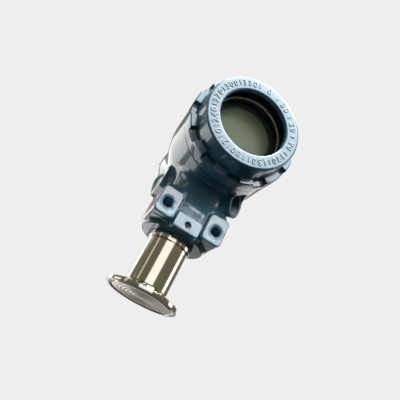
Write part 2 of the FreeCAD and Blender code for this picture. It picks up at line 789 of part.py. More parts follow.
# --- Electronics and terminals -----------------------------------------------------------------------
def electronics_module():
    """Potted electronics can with three ears behind its rim."""
    seat = PARTITION_FRONT - MODULE_SEAT_GAP
    can = turned([
        (0, -MODULE_FRONT),
        (MODULE_R, -MODULE_FRONT, 1.5),
        (MODULE_R, seat, 1.0),
        (0, seat),
    ], BACK, AXIS_Z)
    for x, dz in around(MODULE_SCREWS, MODULE_PITCH_R):
        depth = MODULE_FRONT + seat - MODULE_EAR_T
        well = rod(SCREW_HEAD_R + HEAD_ROOM, depth, on_axis(-MODULE_FRONT, x, dz), BACK)
        hole = rod(SCREW_R, MODULE_EAR_T, on_axis(seat - MODULE_EAR_T, x, dz), BACK)
        can = can.cut([well, hole])
    return can


def module_screws():
    seat = PARTITION_FRONT - MODULE_SEAT_GAP - MODULE_EAR_T
    return [pan_screw(SCREW_HEAD_R, SCREW_HEAD_T, SCREW_R, MODULE_EAR_T + MODULE_THREAD,
                      on_axis(seat, x, dz), FRONT)
            for x, dz in around(MODULE_SCREWS, MODULE_PITCH_R)]


def terminal_xs():
    first = -TERMINAL_STEP * (TERMINAL_COUNT - 1) / 2
    return [first + TERMINAL_STEP * i for i in range(TERMINAL_COUNT)]


def terminal_block():
    """Moulded block with a well for each terminal and two fixing holes."""
    body = turned([
        (0, TERMINAL_BACK),
        (TERMINAL_R, TERMINAL_BACK, 1.0),
        (TERMINAL_R, TERMINAL_FACE, 1.5),
        (0, TERMINAL_FACE),
    ], BACK, AXIS_Z)
    flat = block(-TERMINAL_R, TERMINAL_R, TERMINAL_BACK - 1, TERMINAL_FACE + 1,
                 AXIS_Z - TERMINAL_R, AXIS_Z - TERMINAL_FLAT)
    body = body.cut(flat)
    half = TERMINAL_WELL / 2
    floor = TERMINAL_FACE - TERMINAL_WELL_DEPTH
    for x in terminal_xs():
        body = body.cut(block(x - half, x + half, floor, TERMINAL_FACE, AXIS_Z - half, AXIS_Z + half))
        body = body.cut(rod(TERMINAL_SCREW_R, TERMINAL_THREAD, on_axis(floor, x), FRONT))
    for side in (-1, 1):
        seat = on_axis(TERMINAL_FACE - TERMINAL_FIX_DEPTH, 0, side * TERMINAL_FIX_Z)
        body = body.cut(rod(SCREW_HEAD_R + HEAD_ROOM, TERMINAL_FIX_DEPTH, seat, BACK))
        body = body.cut(rod(SCREW_R, TERMINAL_FACE - TERMINAL_FIX_DEPTH - TERMINAL_BACK, seat, FRONT))
    return body


def terminal_washers():
    half = TERMINAL_PLATE / 2
    floor = TERMINAL_FACE - TERMINAL_WELL_DEPTH
    plates = []
    for x in terminal_xs():
        plate = block(x - half, x + half, floor, floor + TERMINAL_PLATE_T, AXIS_Z - half, AXIS_Z + half)
        plates.append(plate.cut(rod(TERMINAL_SCREW_R, TERMINAL_PLATE_T, on_axis(floor, x), BACK)))
    return plates


def terminal_screws():
    seat = TERMINAL_FACE - TERMINAL_WELL_DEPTH + TERMINAL_PLATE_T
    return [pan_screw(TERMINAL_HEAD_R, TERMINAL_HEAD_T, TERMINAL_SCREW_R,
                      TERMINAL_THREAD + TERMINAL_PLATE_T,
                      on_axis(seat, x), BACK)
            for x in terminal_xs()]


def terminal_block_screws():
    length = TERMINAL_FACE - TERMINAL_FIX_DEPTH - TERMINAL_BACK + FIX_THREAD
    return [pan_screw(SCREW_HEAD_R, SCREW_HEAD_T, SCREW_R, length,
                      on_axis(TERMINAL_FACE - TERMINAL_FIX_DEPTH, 0, side * TERMINAL_FIX_Z), BACK)
            for side in (-1, 1)]


def ground_washer():
    base = on_axis(GROUND_BOSS_FACE, GROUND_X, -GROUND_DROP)
    return tube(GROUND_HEAD_R + HEAD_ROOM, GROUND_SCREW_R, GROUND_PLATE_T, base, BACK)


def ground_screw():
    seat = on_axis(GROUND_BOSS_FACE + GROUND_PLATE_T, GROUND_X, -GROUND_DROP)
    return pan_screw(GROUND_HEAD_R, GROUND_HEAD_T, GROUND_SCREW_R,
                     GROUND_THREAD + GROUND_PLATE_T, seat, BACK)


def neck_lock_screw():
    """Socket set screw; its dog point enters the collar's groove and leaves the housing free to turn."""
    tip_y = -(COLLAR_R - LOCK_GROOVE_D) - 0.3
    shoulder_y = -NECK_BORE_R - 0.4
    outer_y = tip_y - LOCK_LENGTH
    dog = rod(LOCK_TIP_R, tip_y - shoulder_y, V(0, shoulder_y, PAD_Z), BACK)
    shank = rod(LOCK_R, shoulder_y - outer_y, V(0, outer_y, PAD_Z), BACK)
    socket = rod(LOCK_SOCKET_R, LOCK_SOCKET_DEPTH, V(0, outer_y, PAD_Z), BACK)
    return shank.fuse(dog).cut(socket).removeSplitter()


# --- Write the pieces --------------------------------------------------------------------------------
def write(name, solids):
    """One STEP file per node; several solids in a node stay separate."""
    pieces = solids if isinstance(solids, list) else [solids]
    pieces = [solid for piece in pieces for solid in piece.Solids]
    for solid in pieces:
        if not solid.isValid():
            raise ValueError("invalid solid in " + name)
    shape = pieces[0] if len(pieces) == 1 else Part.makeCompound(pieces)
    shape.exportStep(os.path.join("parts", name + ".step"))
    print(name, len(pieces), "solids,", round(sum(s.Volume for s in pieces)), "mm3")


def main():
    os.makedirs("parts", exist_ok=True)
    write("clamp_ferrule", clamp_ferrule())
    write("process_diaphragm", process_diaphragm())
    write("neck_tube", neck_tube())
    write("neck_o_ring", neck_o_ring())
    write("capillary_tube", capillary_tube())
    write("pressure_sensor", pressure_sensor())
    write("sensor_seat", sensor_seat())
    write("sensor_board", sensor_board())
    write("housing", housing())
    write("neck_lock_screw", neck_lock_screw())
    write("display_cover", display_cover())
    write("window_glass", window_glass())
    write("window_gasket", window_gasket())
    write("window_retaining_ring", window_retaining_ring())
    write("display_cover_o_ring", cover_seal(SEAL_OUTER_R, FRONT_FACE, -1))
    write("display_screen", display_screen())
    write("display_bezel", display_bezel())
    write("display_board", display_board())
    write("display_standoffs", display_standoffs())
    write("electronics_module", electronics_module())
    write("module_screws", module_screws())
    write("terminal_block", terminal_block())
    write("terminal_block_screws", terminal_block_screws())
    write("terminal_washers", terminal_washers())
    write("terminal_screws", terminal_screws())
    write("ground_washer", ground_washer())
    write("ground_screw", ground_screw())
    write("rear_cover", rear_cover())
    write("rear_cover_o_ring", cover_seal(REAR_SEAL_OUTER_R, REAR_FACE, 1))


main()
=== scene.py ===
# %% [markdown]
# # A pressure transmitter, dressed
# The engineering model gives every piece its place and its body. This notebook gives each visible piece
# the surface it has on the real instrument: a glossy enamelled casting, a polished neck, a thick window.
# The first step loads that model and keeps its box.

# %% Load the engineering model
import math
import bmesh
import bpy
import numpy as np
from mathutils import Matrix, Vector


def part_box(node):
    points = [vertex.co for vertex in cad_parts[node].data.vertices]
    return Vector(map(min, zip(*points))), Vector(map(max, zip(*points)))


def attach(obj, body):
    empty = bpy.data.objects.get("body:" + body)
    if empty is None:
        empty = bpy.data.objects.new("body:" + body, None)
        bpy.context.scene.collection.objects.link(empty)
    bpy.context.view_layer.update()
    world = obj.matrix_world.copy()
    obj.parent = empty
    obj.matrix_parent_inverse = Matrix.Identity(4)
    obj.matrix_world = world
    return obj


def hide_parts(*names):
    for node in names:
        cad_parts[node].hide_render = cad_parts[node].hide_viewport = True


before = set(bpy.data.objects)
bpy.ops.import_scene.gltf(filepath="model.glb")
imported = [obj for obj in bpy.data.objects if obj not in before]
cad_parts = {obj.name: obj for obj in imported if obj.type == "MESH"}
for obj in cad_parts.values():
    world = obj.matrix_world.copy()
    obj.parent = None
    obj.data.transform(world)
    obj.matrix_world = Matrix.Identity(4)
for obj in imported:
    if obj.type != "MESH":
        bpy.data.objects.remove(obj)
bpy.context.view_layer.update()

MM = 0.001

# %% [markdown]
# ## Where things are
# Each length below is read from a node's box, in millimetres, except the casting's front face, which is
# given.
# The covers and the barrel share one axis, which lies half-way up the display cover's box. Front is towards
# -Y.

# %% Read the main sizes from the model
def box_mm(node):
    """Lowest and highest corner of a node, in millimetres."""
    low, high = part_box(node)
    return np.array(low) / MM, np.array(high) / MM

COVER_LOW, COVER_HIGH = box_mm("display_cover")
HOUSE_LOW, HOUSE_HIGH = box_mm("housing")
REAR_LOW, REAR_HIGH = box_mm("rear_cover")
NECK_HIGH = box_mm("neck_tube")[1]
FERRULE_HIGH = box_mm("clamp_ferrule")[1]
AXIS_Z = (COVER_LOW[2] + COVER_HIGH[2]) / 2
FRONT_FACE = 49.6
REAR_FACE = HOUSE_HIGH[1]
BASE_Z = HOUSE_LOW[2]
print("cover axis at z", round(AXIS_Z, 1), "casting from y", -FRONT_FACE, "to", round(REAR_FACE, 1))

# %% [markdown]
# ## The camera
# The portrait is taken from below and to the left of the display, close up, with the instrument leaning
# across the picture. A camera is an object like any other: its matrix holds the right, up and back
# directions as columns. Those three directions and the place were worked out from the round edges of the
# ferrule, the window and the cover.

# %% Set the camera
LENS = 34.652
LENS_SHIFT = (-0.002144, 0.000599)
CAMERA_PLACE = (-0.053104, -0.316540, -0.062335)

def place_camera():
    """The portrait's camera: a normal lens, close up, below and left of the display."""
    data = bpy.data.cameras.new("portrait_camera")
    data.sensor_width = 36.0
    data.lens = LENS
    data.shift_x, data.shift_y = LENS_SHIFT
    data.clip_start = 0.01
    camera = bpy.data.objects.new("portrait_camera", data)
    bpy.context.scene.collection.objects.link(camera)
    right = Vector((0.82896813, -0.37595154, 0.41409212))
    up = -Vector((0.53488248, 0.31654164, -0.78339142))
    back = -Vector((0.16343981, 0.87089714, 0.46349282))
    turn = Matrix((right, up, back)).transposed().to_4x4()
    camera.matrix_world = Matrix.Translation(CAMERA_PLACE) @ turn
    bpy.context.scene.camera = camera
    return camera

camera = place_camera()
print("camera at", [round(v, 3) for v in camera.location], "lens", camera.data.lens)

# %% [markdown]
# ## Finishes
# A finish is a small network of nodes: one shader, a noise that shifts its colour a little, and a noise
# that dents its surface. `finish` makes that common part; each material below adds what is its own.
# Numbers that are the same everywhere go straight into the shader's sockets, so they survive an export.

# %% A helper for procedural materials
def finish(name, light, dark, scale, rough, metal=0.0, bump=0.0, bump_scale=900.0, sockets=None):
    """A principled material whose colour drifts between two tones and whose surface is finely dented."""
    mat = bpy.data.materials.new(name)
    mat.use_nodes = True
    nodes = mat.node_tree.nodes
    links = mat.node_tree.links
    shader = nodes["Principled BSDF"]
    shader.inputs["Roughness"].default_value = rough
    shader.inputs["Metallic"].default_value = metal
    for key, value in (sockets or {}).items():
        shader.inputs[key].default_value = value
    coords = nodes.new("ShaderNodeTexCoord")
    cloud = nodes.new("ShaderNodeTexNoise")
    cloud.inputs["Scale"].default_value = scale
    cloud.inputs["Detail"].default_value = 4.0
    ramp = nodes.new("ShaderNodeValToRGB")
    ramp.color_ramp.elements[0].position = 0.3
    ramp.color_ramp.elements[1].position = 0.7
    ramp.color_ramp.elements[0].color = (*dark, 1)
    ramp.color_ramp.elements[1].color = (*light, 1)
    links.new(coords.outputs["Object"], cloud.inputs["Vector"])
    links.new(cloud.outputs["Fac"], ramp.inputs["Fac"])
    links.new(ramp.outputs["Color"], shader.inputs["Base Color"])
    if bump:
        grain = nodes.new("ShaderNodeTexNoise")
        grain.inputs["Scale"].default_value = bump_scale
        grain.inputs["Detail"].default_value = 3.0
        dents = nodes.new("ShaderNodeBump")
        dents.inputs["Distance"].default_value = bump * MM
        links.new(coords.outputs["Object"], grain.inputs["Vector"])
        links.new(grain.outputs["Fac"], dents.inputs["Height"])
        links.new(dents.outputs["Normal"], shader.inputs["Normal"])
    return mat

# %% [markdown]
# ### Enamel
# The castings are sprayed with a steel-blue enamel and stoved. A clear coat over a coloured base gives
# the hard, mirror-like reflections of that paint, and a faint ripple stands for its orange peel.

# %% Blue enamel
enamel = finish("blue_enamel", (0.066, 0.21, 0.32), (0.056, 0.185, 0.285), 22.0, 0.30, bump=0.012,
                bump_scale=420.0, sockets={"Coat Weight": 1.0, "Coat Roughness": 0.03, "Coat IOR": 1.6,
                                           "Specular IOR Level": 0.5})
print("made", enamel.name)

# %% [markdown]
# ### Steel
# The neck is polished stainless steel, slightly warm. Turning leaves rings that no polish removes
# altogether, so a stack of very thin waves along Z dents the surface before the noise does.

# %% Polished and plated steel
WAVE_PERIOD = 0.314  # length of one wave of the node at a scale of 1

def ringed(mat, spacing, depth, rings=False):
    """Adds turning marks: thin waves along Z, or rings round it."""
    nodes = mat.node_tree.nodes
    links = mat.node_tree.links
    wave = nodes.new("ShaderNodeTexWave")
    wave.wave_type = "RINGS" if rings else "BANDS"
    if rings:
        wave.rings_direction = "Z"
    else:
        wave.bands_direction = "Z"
    wave.inputs["Scale"].default_value = WAVE_PERIOD / (spacing * MM)
    wave.inputs["Distortion"].default_value = 0.6
    wave.inputs["Detail"].default_value = 2.0
    marks = nodes.new("ShaderNodeBump")
    marks.inputs["Distance"].default_value = depth * MM
    coords = [n for n in nodes if n.type == "TEX_COORD"][0]
    shader = nodes["Principled BSDF"]
    links.new(coords.outputs["Object"], wave.inputs["Vector"])
    links.new(wave.outputs["Fac"], marks.inputs["Height"])
    old = shader.inputs["Normal"].links
    if old:
        links.new(old[0].from_socket, marks.inputs["Normal"])
    links.new(marks.outputs["Normal"], shader.inputs["Normal"])

steel = finish("polished_steel", (0.73, 0.705, 0.63), (0.65, 0.625, 0.55), 30.0, 0.11, 1.0, 0.002)
ringed(steel, spacing=0.45, depth=0.003)
steel_face = finish("turned_face", (0.66, 0.645, 0.60), (0.58, 0.565, 0.52), 30.0, 0.22, 1.0, 0.002)
ringed(steel_face, spacing=0.8, depth=0.006, rings=True)
zinc = finish("zinc_plate", (0.62, 0.61, 0.57), (0.50, 0.50, 0.47), 300.0, 0.30, 1.0, 0.01)
dark_ring = finish("dark_anodised", (0.010, 0.010, 0.010), (0.006, 0.006, 0.006), 200.0, 0.5, 0.0, 0.01,
                   sockets={"Specular IOR Level": 0.12})
bright_edge = finish("bright_edge", (0.62, 0.60, 0.50), (0.52, 0.50, 0.42), 200.0, 0.35, 0.5, 0.004)
print("made", steel.name, steel_face.name, zinc.name, dark_ring.name, bright_edge.name)

# %% [markdown]
# ### Rubber, plastic, board and display
# These are quiet materials: matt black rubber, moulded plastic with a fine grain, a green circuit board,
# and the grey-green cell of a liquid crystal display with its power off.

# %% The quieter finishes
rubber = finish("black_rubber", (0.011, 0.011, 0.011), (0.006, 0.006, 0.006), 400.0, 0.6, bump=0.01,
                sockets={"Specular IOR Level": 0.15})
plastic = finish("black_plastic", (0.014, 0.014, 0.015), (0.009, 0.009, 0.010), 250.0, 0.45, bump=0.015,
                 bump_scale=2500.0, sockets={"Specular IOR Level": 0.2})
board = finish("circuit_board", (0.02, 0.10, 0.045), (0.012, 0.07, 0.03), 500.0, 0.35, bump=0.02)
cell = finish("display_cell", (0.100, 0.118, 0.072), (0.078, 0.092, 0.056), 18.0, 0.22, bump=0.001,
              sockets={"Specular IOR Level": 0.2})
print("made", rubber.name, plastic.name, board.name, cell.name)

# %% [markdown]
# ### Window glass
# The window is a thick disc of toughened glass. Real glass is a shader with full transmission; a trace of
# green-grey in the base colour stands for the iron in a disc ten millimetres thick. An anti-glare layer on
# both sides keeps nearly all of the reflection away. A refractive index close to that of air stands for it,
# because the shader has no thin layers.

# %% Glass
glass = finish("clear_glass", (0.93, 0.96, 0.94), (0.90, 0.94, 0.92), 10.0, 0.0,
               sockets={"Transmission Weight": 1.0, "IOR": 1.04})
print("made", glass.name)

# %% [markdown]
# ## Turned pieces
# Neck, ferrule, covers and rings all come off a lathe, so they can be made from half a section swept
# round an axis. A section is a list of corners (radius, distance along the axis, rounding). `section`
# replaces every rounded corner with a short arc: the thin bright line on a real edge is the light that
# such an arc catches, and a bare corner never shows it.

# %% Sections with rounded corners
def section(corners, steps=5):
    """Corners (r, h) or (r, h, rounding) of a closed section as a list of points."""
    points = []
    count = len(corners)
    for i, corner in enumerate(corners):
        here = np.array(corner[:2], float)
        rounding = corner[2] if len(corner) > 2 else 0.0
        if rounding <= 0:
            points.append(here)
            continue
        a = np.array(corners[i - 1][:2], float) - here
        b = np.array(corners[(i + 1) % count][:2], float) - here
        a = a / np.linalg.norm(a)
        b = b / np.linalg.norm(b)
        half = math.acos(max(-1.0, min(1.0, float(a @ b)))) / 2
        reach = rounding / math.tan(half)
        start = here + a * reach
        end = here + b * reach
        centre = here + (a + b) / np.linalg.norm(a + b) * rounding / math.sin(half)
        for k in range(steps + 1):
            t = k / steps
            point = start * (1 - t) + end * t - centre
            points.append(centre + point / np.linalg.norm(point) * rounding)
    return np.array(points)

# %% [markdown]
# Three helpers serve every piece: one makes the object, one closes and turns its faces, and one says which
# body it rides on.

# %% Helpers for every piece
SHARP_ANGLE = math.radians(32.0)

def new_object(name, vertices, faces, materials, face_material=None):
    """A mesh object from millimetres, smooth but with its hard edges kept."""
    mesh = bpy.data.meshes.new(name)
    mesh.from_pydata((np.asarray(vertices) * MM).tolist(), [], faces)
    mesh.polygons.foreach_set("use_smooth", [True] * len(mesh.polygons))
    mesh.set_sharp_from_angle(angle=SHARP_ANGLE)
    for mat in materials:
        mesh.materials.append(mat)
    if face_material is not None:
        mesh.polygons.foreach_set("material_index", face_material)
    obj = bpy.data.objects.new(name, mesh)
    bpy.context.scene.collection.objects.link(obj)
    return obj


def clean_up(obj):
    """Merges the points that meet on the axis and turns every face outwards."""
    bm = bmesh.new()
    bm.from_mesh(obj.data)
    bmesh.ops.remove_doubles(bm, verts=bm.verts, dist=1e-6)
    bmesh.ops.dissolve_degenerate(bm, dist=1e-7, edges=bm.edges)
    bmesh.ops.recalc_face_normals(bm, faces=bm.faces)
    bm.to_mesh(obj.data)
    bm.free()
    obj.data.set_sharp_from_angle(angle=SHARP_ANGLE)


def dress(obj, body, slot, *nodes):
    """The piece rides on a body and may stand for nodes of the model; its slot is not used."""
    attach(obj, body)
    if nodes:
        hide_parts(*nodes)
    return obj

# %% [markdown]
# `lathe` sweeps a section. It also takes a function that may move each point depending on its angle,
# which is how the wrench teeth and the screw threads are made later without a single boolean cut.

# %% The lathe
def lathe(name, points, along, materials, angles=192, shape=None, pick=None):
    """Sweeps a closed section round the upright neck ("Z") or round the covers' axis ("Y")."""
    turn = np.arange(angles) * 2 * math.pi / angles if isinstance(angles, int) else np.asarray(angles)
    n, m = len(turn), len(points)
    r = np.tile(points[:, 0], (n, 1))
    h = np.tile(points[:, 1], (n, 1))
    a = np.tile(turn[:, None], (1, m))
    if shape:
        r, h = shape(r, h, a)
    if along == "Z":
        xyz = np.stack([r * np.cos(a), r * np.sin(a), h], -1)
    else:
        xyz = np.stack([r * np.cos(a), h, AXIS_Z + r * np.sin(a)], -1)
    faces = []
    chosen = []
    for j in range(m):
        k = (j + 1) % m
        if points[j][0] < 1e-6 and points[k][0] < 1e-6:
            continue
        finish_number = pick(points[j], points[k]) if pick else 0
        for i in range(n):
            i2 = (i + 1) % n
            faces.append([i * m + j, i * m + k, i2 * m + k, i2 * m + j])
            chosen.append(finish_number)
    obj = new_object(name, xyz.reshape(-1, 3), faces, materials, chosen)
    clean_up(obj)
    print(name, len(obj.data.polygons), "faces")
    return obj

# %% [markdown]
# ## Neck and ferrule
# The lowest pieces are what the process pipe sees. The ferrule's back is tapered by 20 degrees, so that a
# clamp pulls two of them together, and a round gasket groove is turned in its face.

# %% Neck and ferrule
TUBE_R = 18.65
BORE_R = TUBE_R - 3.2
COLLAR_R = NECK_HIGH[0]
COLLAR_Z = 48.7
FERRULE_R = FERRULE_HIGH[0]
FERRULE_TOP = FERRULE_HIGH[2]
RIM_THICK = 3.4
FOIL_R = 25.3

neck = lathe("neck", section([
    (BORE_R, FERRULE_TOP), (TUBE_R, FERRULE_TOP), (TUBE_R, COLLAR_Z, 0.4),
    (COLLAR_R, COLLAR_Z, 0.7), (COLLAR_R, NECK_HIGH[2], 1.0), (BORE_R, NECK_HIGH[2]),
]), "Z", [steel])
dress(neck, "process_side", "polished_steel", "neck_tube")

GROOVE_R, GROOVE_ROUND = 28.1, 1.6
GROOVE = [(GROOVE_R + GROOVE_ROUND * math.cos(t), GROOVE_ROUND * math.sin(t))
          for t in np.linspace(0.12, math.pi - 0.12, 9)]

def on_face(a, b):
    """1 for the turned face and its groove, 0 for the polished rest."""
    return 1 if max(a[1], b[1]) < GROOVE_ROUND + 0.1 else 0

ferrule = lathe("ferrule", section(
    [(0, 0.6), (FOIL_R - 0.9, 0.6), (FOIL_R + 0.1, 0.3), (FOIL_R + 0.1, 0.0, 0.1)]
    + GROOVE[::-1]
    + [(FERRULE_R, 0.0, 0.5), (FERRULE_R, RIM_THICK, 0.5), (TUBE_R + 1.2, FERRULE_TOP - 0.44, 1.6),
       (TUBE_R, FERRULE_TOP + 0.9), (BORE_R, FERRULE_TOP), (BORE_R, RIM_THICK + 0.2), (0, RIM_THICK + 0.2)]),
    "Z", [steel, steel_face], pick=on_face)
dress(ferrule, "process_side", "polished_steel", "clamp_ferrule")

# %% [markdown]
# ## Diaphragm
# The thin foil that feels the pressure is pressed into soft ripples, so it can bow without stretching. It
# is welded flush into the ferrule's face.

# %% Corrugated diaphragm
RIPPLE_LENGTH = 3.2
RIPPLE_DEPTH = 0.13
FOIL_THICK = 0.15

def ripple(r):
    """Height of the foil's underside at a radius."""
    fade = np.clip((24.0 - r) / 3.0, 0, 1) * np.clip((r - 3.0) / 3.0, 0, 1)
    return 0.18 - RIPPLE_DEPTH * np.cos(r * 2 * math.pi / RIPPLE_LENGTH) * fade

under = [(r, float(ripple(r))) for r in np.linspace(0, FOIL_R, 110)]
upper = [(r, h + FOIL_THICK) for r, h in reversed(under)]
foil = lathe("diaphragm_foil", np.array(under + upper), "Z", [steel_face], angles=128)
dress(foil, "process_side", "polished_steel", "process_diaphragm")

# %% [markdown]
# ## Display cover
# The cover is a casting that a big pin wrench turns: twelve notches leave a crown of teeth round its
# flange. The step in front of the teeth is moved back inside each notch, so teeth and notches come from
# one sweep. The spigot behind the flange carries the real screw thread, 2 mm a turn.

# %% Angles and thread of the covers
NOTCHES = 12
NOTCH_HALF = 14.3 / 2
CROWN_PHASE = -19.2
PITCH = 2.0
THREAD_DEPTH = 0.55

def crown_angles():
    """Angles round a cover, packed closely at each notch's walls."""
    offsets = list(np.arange(-14, 15, 2.0))
    for side in (-1, 1):
        offsets += [side * (NOTCH_HALF + d) for d in (-0.9, -0.6, -0.35, -0.1, 0.1, 0.35, 0.6, 0.9)]
    offsets = sorted(o for o in offsets if not (0.9 < abs(abs(o) - NOTCH_HALF) < 1.0))
    full = [math.radians(CROWN_PHASE + 360 / NOTCHES * i + o) for i in range(NOTCHES) for o in offsets]
    return np.array(sorted(set(round(v, 6) for v in full)))


def tooth(a):
    """1 on a tooth, 0 in a notch, with a soft step between."""
    turn = np.degrees(a) - CROWN_PHASE
    away = np.abs((turn + 180 / NOTCHES) % (360 / NOTCHES) - 180 / NOTCHES)
    t = np.clip((away - NOTCH_HALF + 0.75) / 1.5, 0, 1)
    return t * t * (3 - 2 * t)


def threaded(r, h, a, low, high, crest):
    """Cuts a helix into the stretch of the section that lies on the crest radius."""
    phase = (h / PITCH - a / (2 * math.pi)) % 1.0
    groove = THREAD_DEPTH * (0.5 - 0.5 * np.cos(2 * math.pi * phase))
    fade = np.clip((h - low) / 1.5, 0, 1) * np.clip((high - h) / 1.5, 0, 1)
    on = np.abs(r - crest) < 0.05
    return np.where(on, r - groove * fade, r)

print("a cover has", NOTCHES, "notches and is swept in", len(crown_angles()), "angles")

# %% [markdown]
# ### The cover that holds the window
# From the window outwards the section runs over the flat face, down the nose, along the crown of teeth and
# over the flange to the open groove of the seal. Behind that come the threaded spigot and the bore for the
# glass. `SEAM` is the width of the black line that stays open when the cover is screwed home.

# %% The display cover
COVER_R = COVER_HIGH[0]
NOSE_Y = COVER_LOW[1]
NOSE_R = 42.4
FLARE_R = 43.6
GROOVE_DEPTH = 1.4
GROOVE_WIDE = 2.6
SEAM = 1.5
FLANGE_Y = -FRONT_FACE - SEAM
NOTCH_Y = -60.0
TOOTH_Y = -64.8
WINDOW_R = 30.2
SHOULDER_Y = -77.4
SEAT_R = 34.0
SEAT_END = -62.8
INSIDE_R = 39.5
SPIGOT_R = 43.92
SPIGOT_END = COVER_HIGH[1]
SEAL_R = box_mm("display_cover_o_ring")[1][0] + 0.1
REAR_SEAL_R = box_mm("rear_cover_o_ring")[1][0] + 0.1

def cover_shape(r, h, a):
    """Moves the step back inside the notches and cuts the spigot's thread."""
    back = (1 - tooth(a)) * (NOTCH_Y - TOOTH_Y)
    on_step = (h > TOOTH_Y - 1.2) & (h < TOOTH_Y + 2.4) & (r > FLARE_R - 0.6)
    h = np.where(on_step, h + back, h)
    return threaded(r, h, a, FLANGE_Y + 1.0, SPIGOT_END - 0.8, SPIGOT_R), h

thread_line = [(SPIGOT_R, y) for y in np.arange(FLANGE_Y + 0.6, SPIGOT_END - 0.5, PITCH / 8)]
cover_points = section(
    [(WINDOW_R, SHOULDER_Y), (WINDOW_R, NOSE_Y, 1.7), (NOSE_R, NOSE_Y, 1.7), (FLARE_R, TOOTH_Y, 0.9),
     (COVER_R, TOOTH_Y, 1.0), (COVER_R, FLANGE_Y, 0.35), (SEAL_R, FLANGE_Y),
     (SEAL_R, FLANGE_Y - GROOVE_DEPTH), (SEAL_R - GROOVE_WIDE, FLANGE_Y - GROOVE_DEPTH),
     (SEAL_R - GROOVE_WIDE, FLANGE_Y), (SPIGOT_R, FLANGE_Y)]
    + thread_line
    + [(SPIGOT_R, SPIGOT_END, 0.8), (INSIDE_R, SPIGOT_END, 0.8), (INSIDE_R, SEAT_END, 2.0),
       (SEAT_R, SEAT_END), (SEAT_R, SHOULDER_Y)])
cover = lathe("display_cover_casting", cover_points, "Y", [enamel], crown_angles(), cover_shape)
dress(cover, "display_cover_group", "blue_enamel", "display_cover")

# %% [markdown]
# ### The blind cover at the rear
# The terminals sit behind a smaller cover with the same crown but no window. Its section is a cup: a flat
# end, a hollow that clears the terminals, and the same groove and thread, seen the other way round.

# %% The rear cover
REAR_COVER_R = REAR_HIGH[0]
REAR_END = REAR_HIGH[1]
REAR_NOSE_R = 36.4
REAR_FLANGE = REAR_FACE + SEAM
REAR_TOOTH_Y = REAR_END - 8.6
REAR_NOTCH_DEPTH = 6.4
REAR_WALL = 4.5
REAR_INSIDE_R = 35.0
REAR_SPIGOT_R = 38.42
REAR_START = REAR_LOW[1]

def rear_shape(r, h, a):
    """The same crown and thread for the rear cover, which faces the other way."""
    back = (1 - tooth(a)) * REAR_NOTCH_DEPTH
    on_step = (h > REAR_TOOTH_Y - 2.4) & (h < REAR_TOOTH_Y + 1.2) & (r > REAR_INSIDE_R)
    h = np.where(on_step, h - back, h)
    return threaded(r, h, a, REAR_START + 0.8, REAR_FLANGE - 1.0, REAR_SPIGOT_R), h

rear_thread = [(REAR_SPIGOT_R, y) for y in np.arange(REAR_START + 0.9, REAR_FLANGE - 0.5, PITCH / 8)]
rear_points = section(
    [(0, REAR_END - REAR_WALL), (31.4, REAR_END - REAR_WALL, 2.0), (32.4, 55.8, 1.0),
     (REAR_INSIDE_R, 51.8, 1.0), (REAR_INSIDE_R, REAR_START, 0.8), (REAR_SPIGOT_R, REAR_START, 0.7)]
    + rear_thread
    + [(REAR_SPIGOT_R, REAR_FLANGE), (REAR_SEAL_R - GROOVE_WIDE, REAR_FLANGE),
       (REAR_SEAL_R - GROOVE_WIDE, REAR_FLANGE + GROOVE_DEPTH), (REAR_SEAL_R, REAR_FLANGE + GROOVE_DEPTH),
       (REAR_SEAL_R, REAR_FLANGE), (REAR_COVER_R, REAR_FLANGE, 0.35), (REAR_COVER_R, REAR_TOOTH_Y, 1.3),
       (REAR_NOSE_R, REAR_TOOTH_Y, 0.8), (REAR_NOSE_R, REAR_END, 3.0), (0, REAR_END)])
rear = lathe("rear_cover_casting", rear_points, "Y", [enamel], crown_angles(), rear_shape)
dress(rear, "rear_cover_group", "blue_enamel", "rear_cover")

# %% [markdown]
# ## Raised numbers
# The face of the cover carries raised characters that are cast with it. Here they are plain degrees, which
# show how far the cover has been screwed on, with a short bar half-way between two of them. Each digit is
# made once as a text curve with a little depth and a bevel, and its mesh is then set down wherever it is
# needed, turned to follow the ring.

# %% Numbers on the face
DIGIT_SIZE = 7.2
DIGIT_STEP = 4.9
MARK_R = 36.3
RELIEF = 0.55
BEVEL = 0.26
BAR_FOOT = (0.75, 2.3)
BAR_TOP = (0.4, 1.95)

def digit_mesh(character):
    """Points and faces of one raised digit, centred on its own middle."""
    text = bpy.data.curves.new("digit", "FONT")
    text.body = character
    text.size = DIGIT_SIZE
    text.extrude = RELIEF - BEVEL
    text.bevel_depth = BEVEL
    text.bevel_resolution = 1
    text.resolution_u = 3
    holder = bpy.data.objects.new("digit", text)
    mesh = bpy.data.meshes.new_from_object(holder)
    points = np.array([v.co for v in mesh.vertices])
    points[:, :2] -= (points[:, :2].max(0) + points[:, :2].min(0)) / 2
    faces = [list(polygon.vertices) for polygon in mesh.polygons]
    bpy.data.objects.remove(holder)
    bpy.data.meshes.remove(mesh)
    bpy.data.curves.remove(text)
    return points, faces


def bar_mesh():
    """A short radial bar with sloping sides."""
    corners = [(-1, -1), (1, -1), (1, 1), (-1, 1)]
    points = [(x * BAR_FOOT[0], y * BAR_FOOT[1], -RELIEF) for x, y in corners]
    points += [(x * BAR_TOP[0], y * BAR_TOP[1], RELIEF) for x, y in corners]
    faces = [[3, 2, 1, 0], [4, 5, 6, 7]] + [[k, (k + 1) % 4, 4 + (k + 1) % 4, 4 + k] for k in range(4)]
    return np.array(points), faces

# %% [markdown]
# The labels then go round the ring in steps of 30 degrees, their feet towards the window, as one mesh.

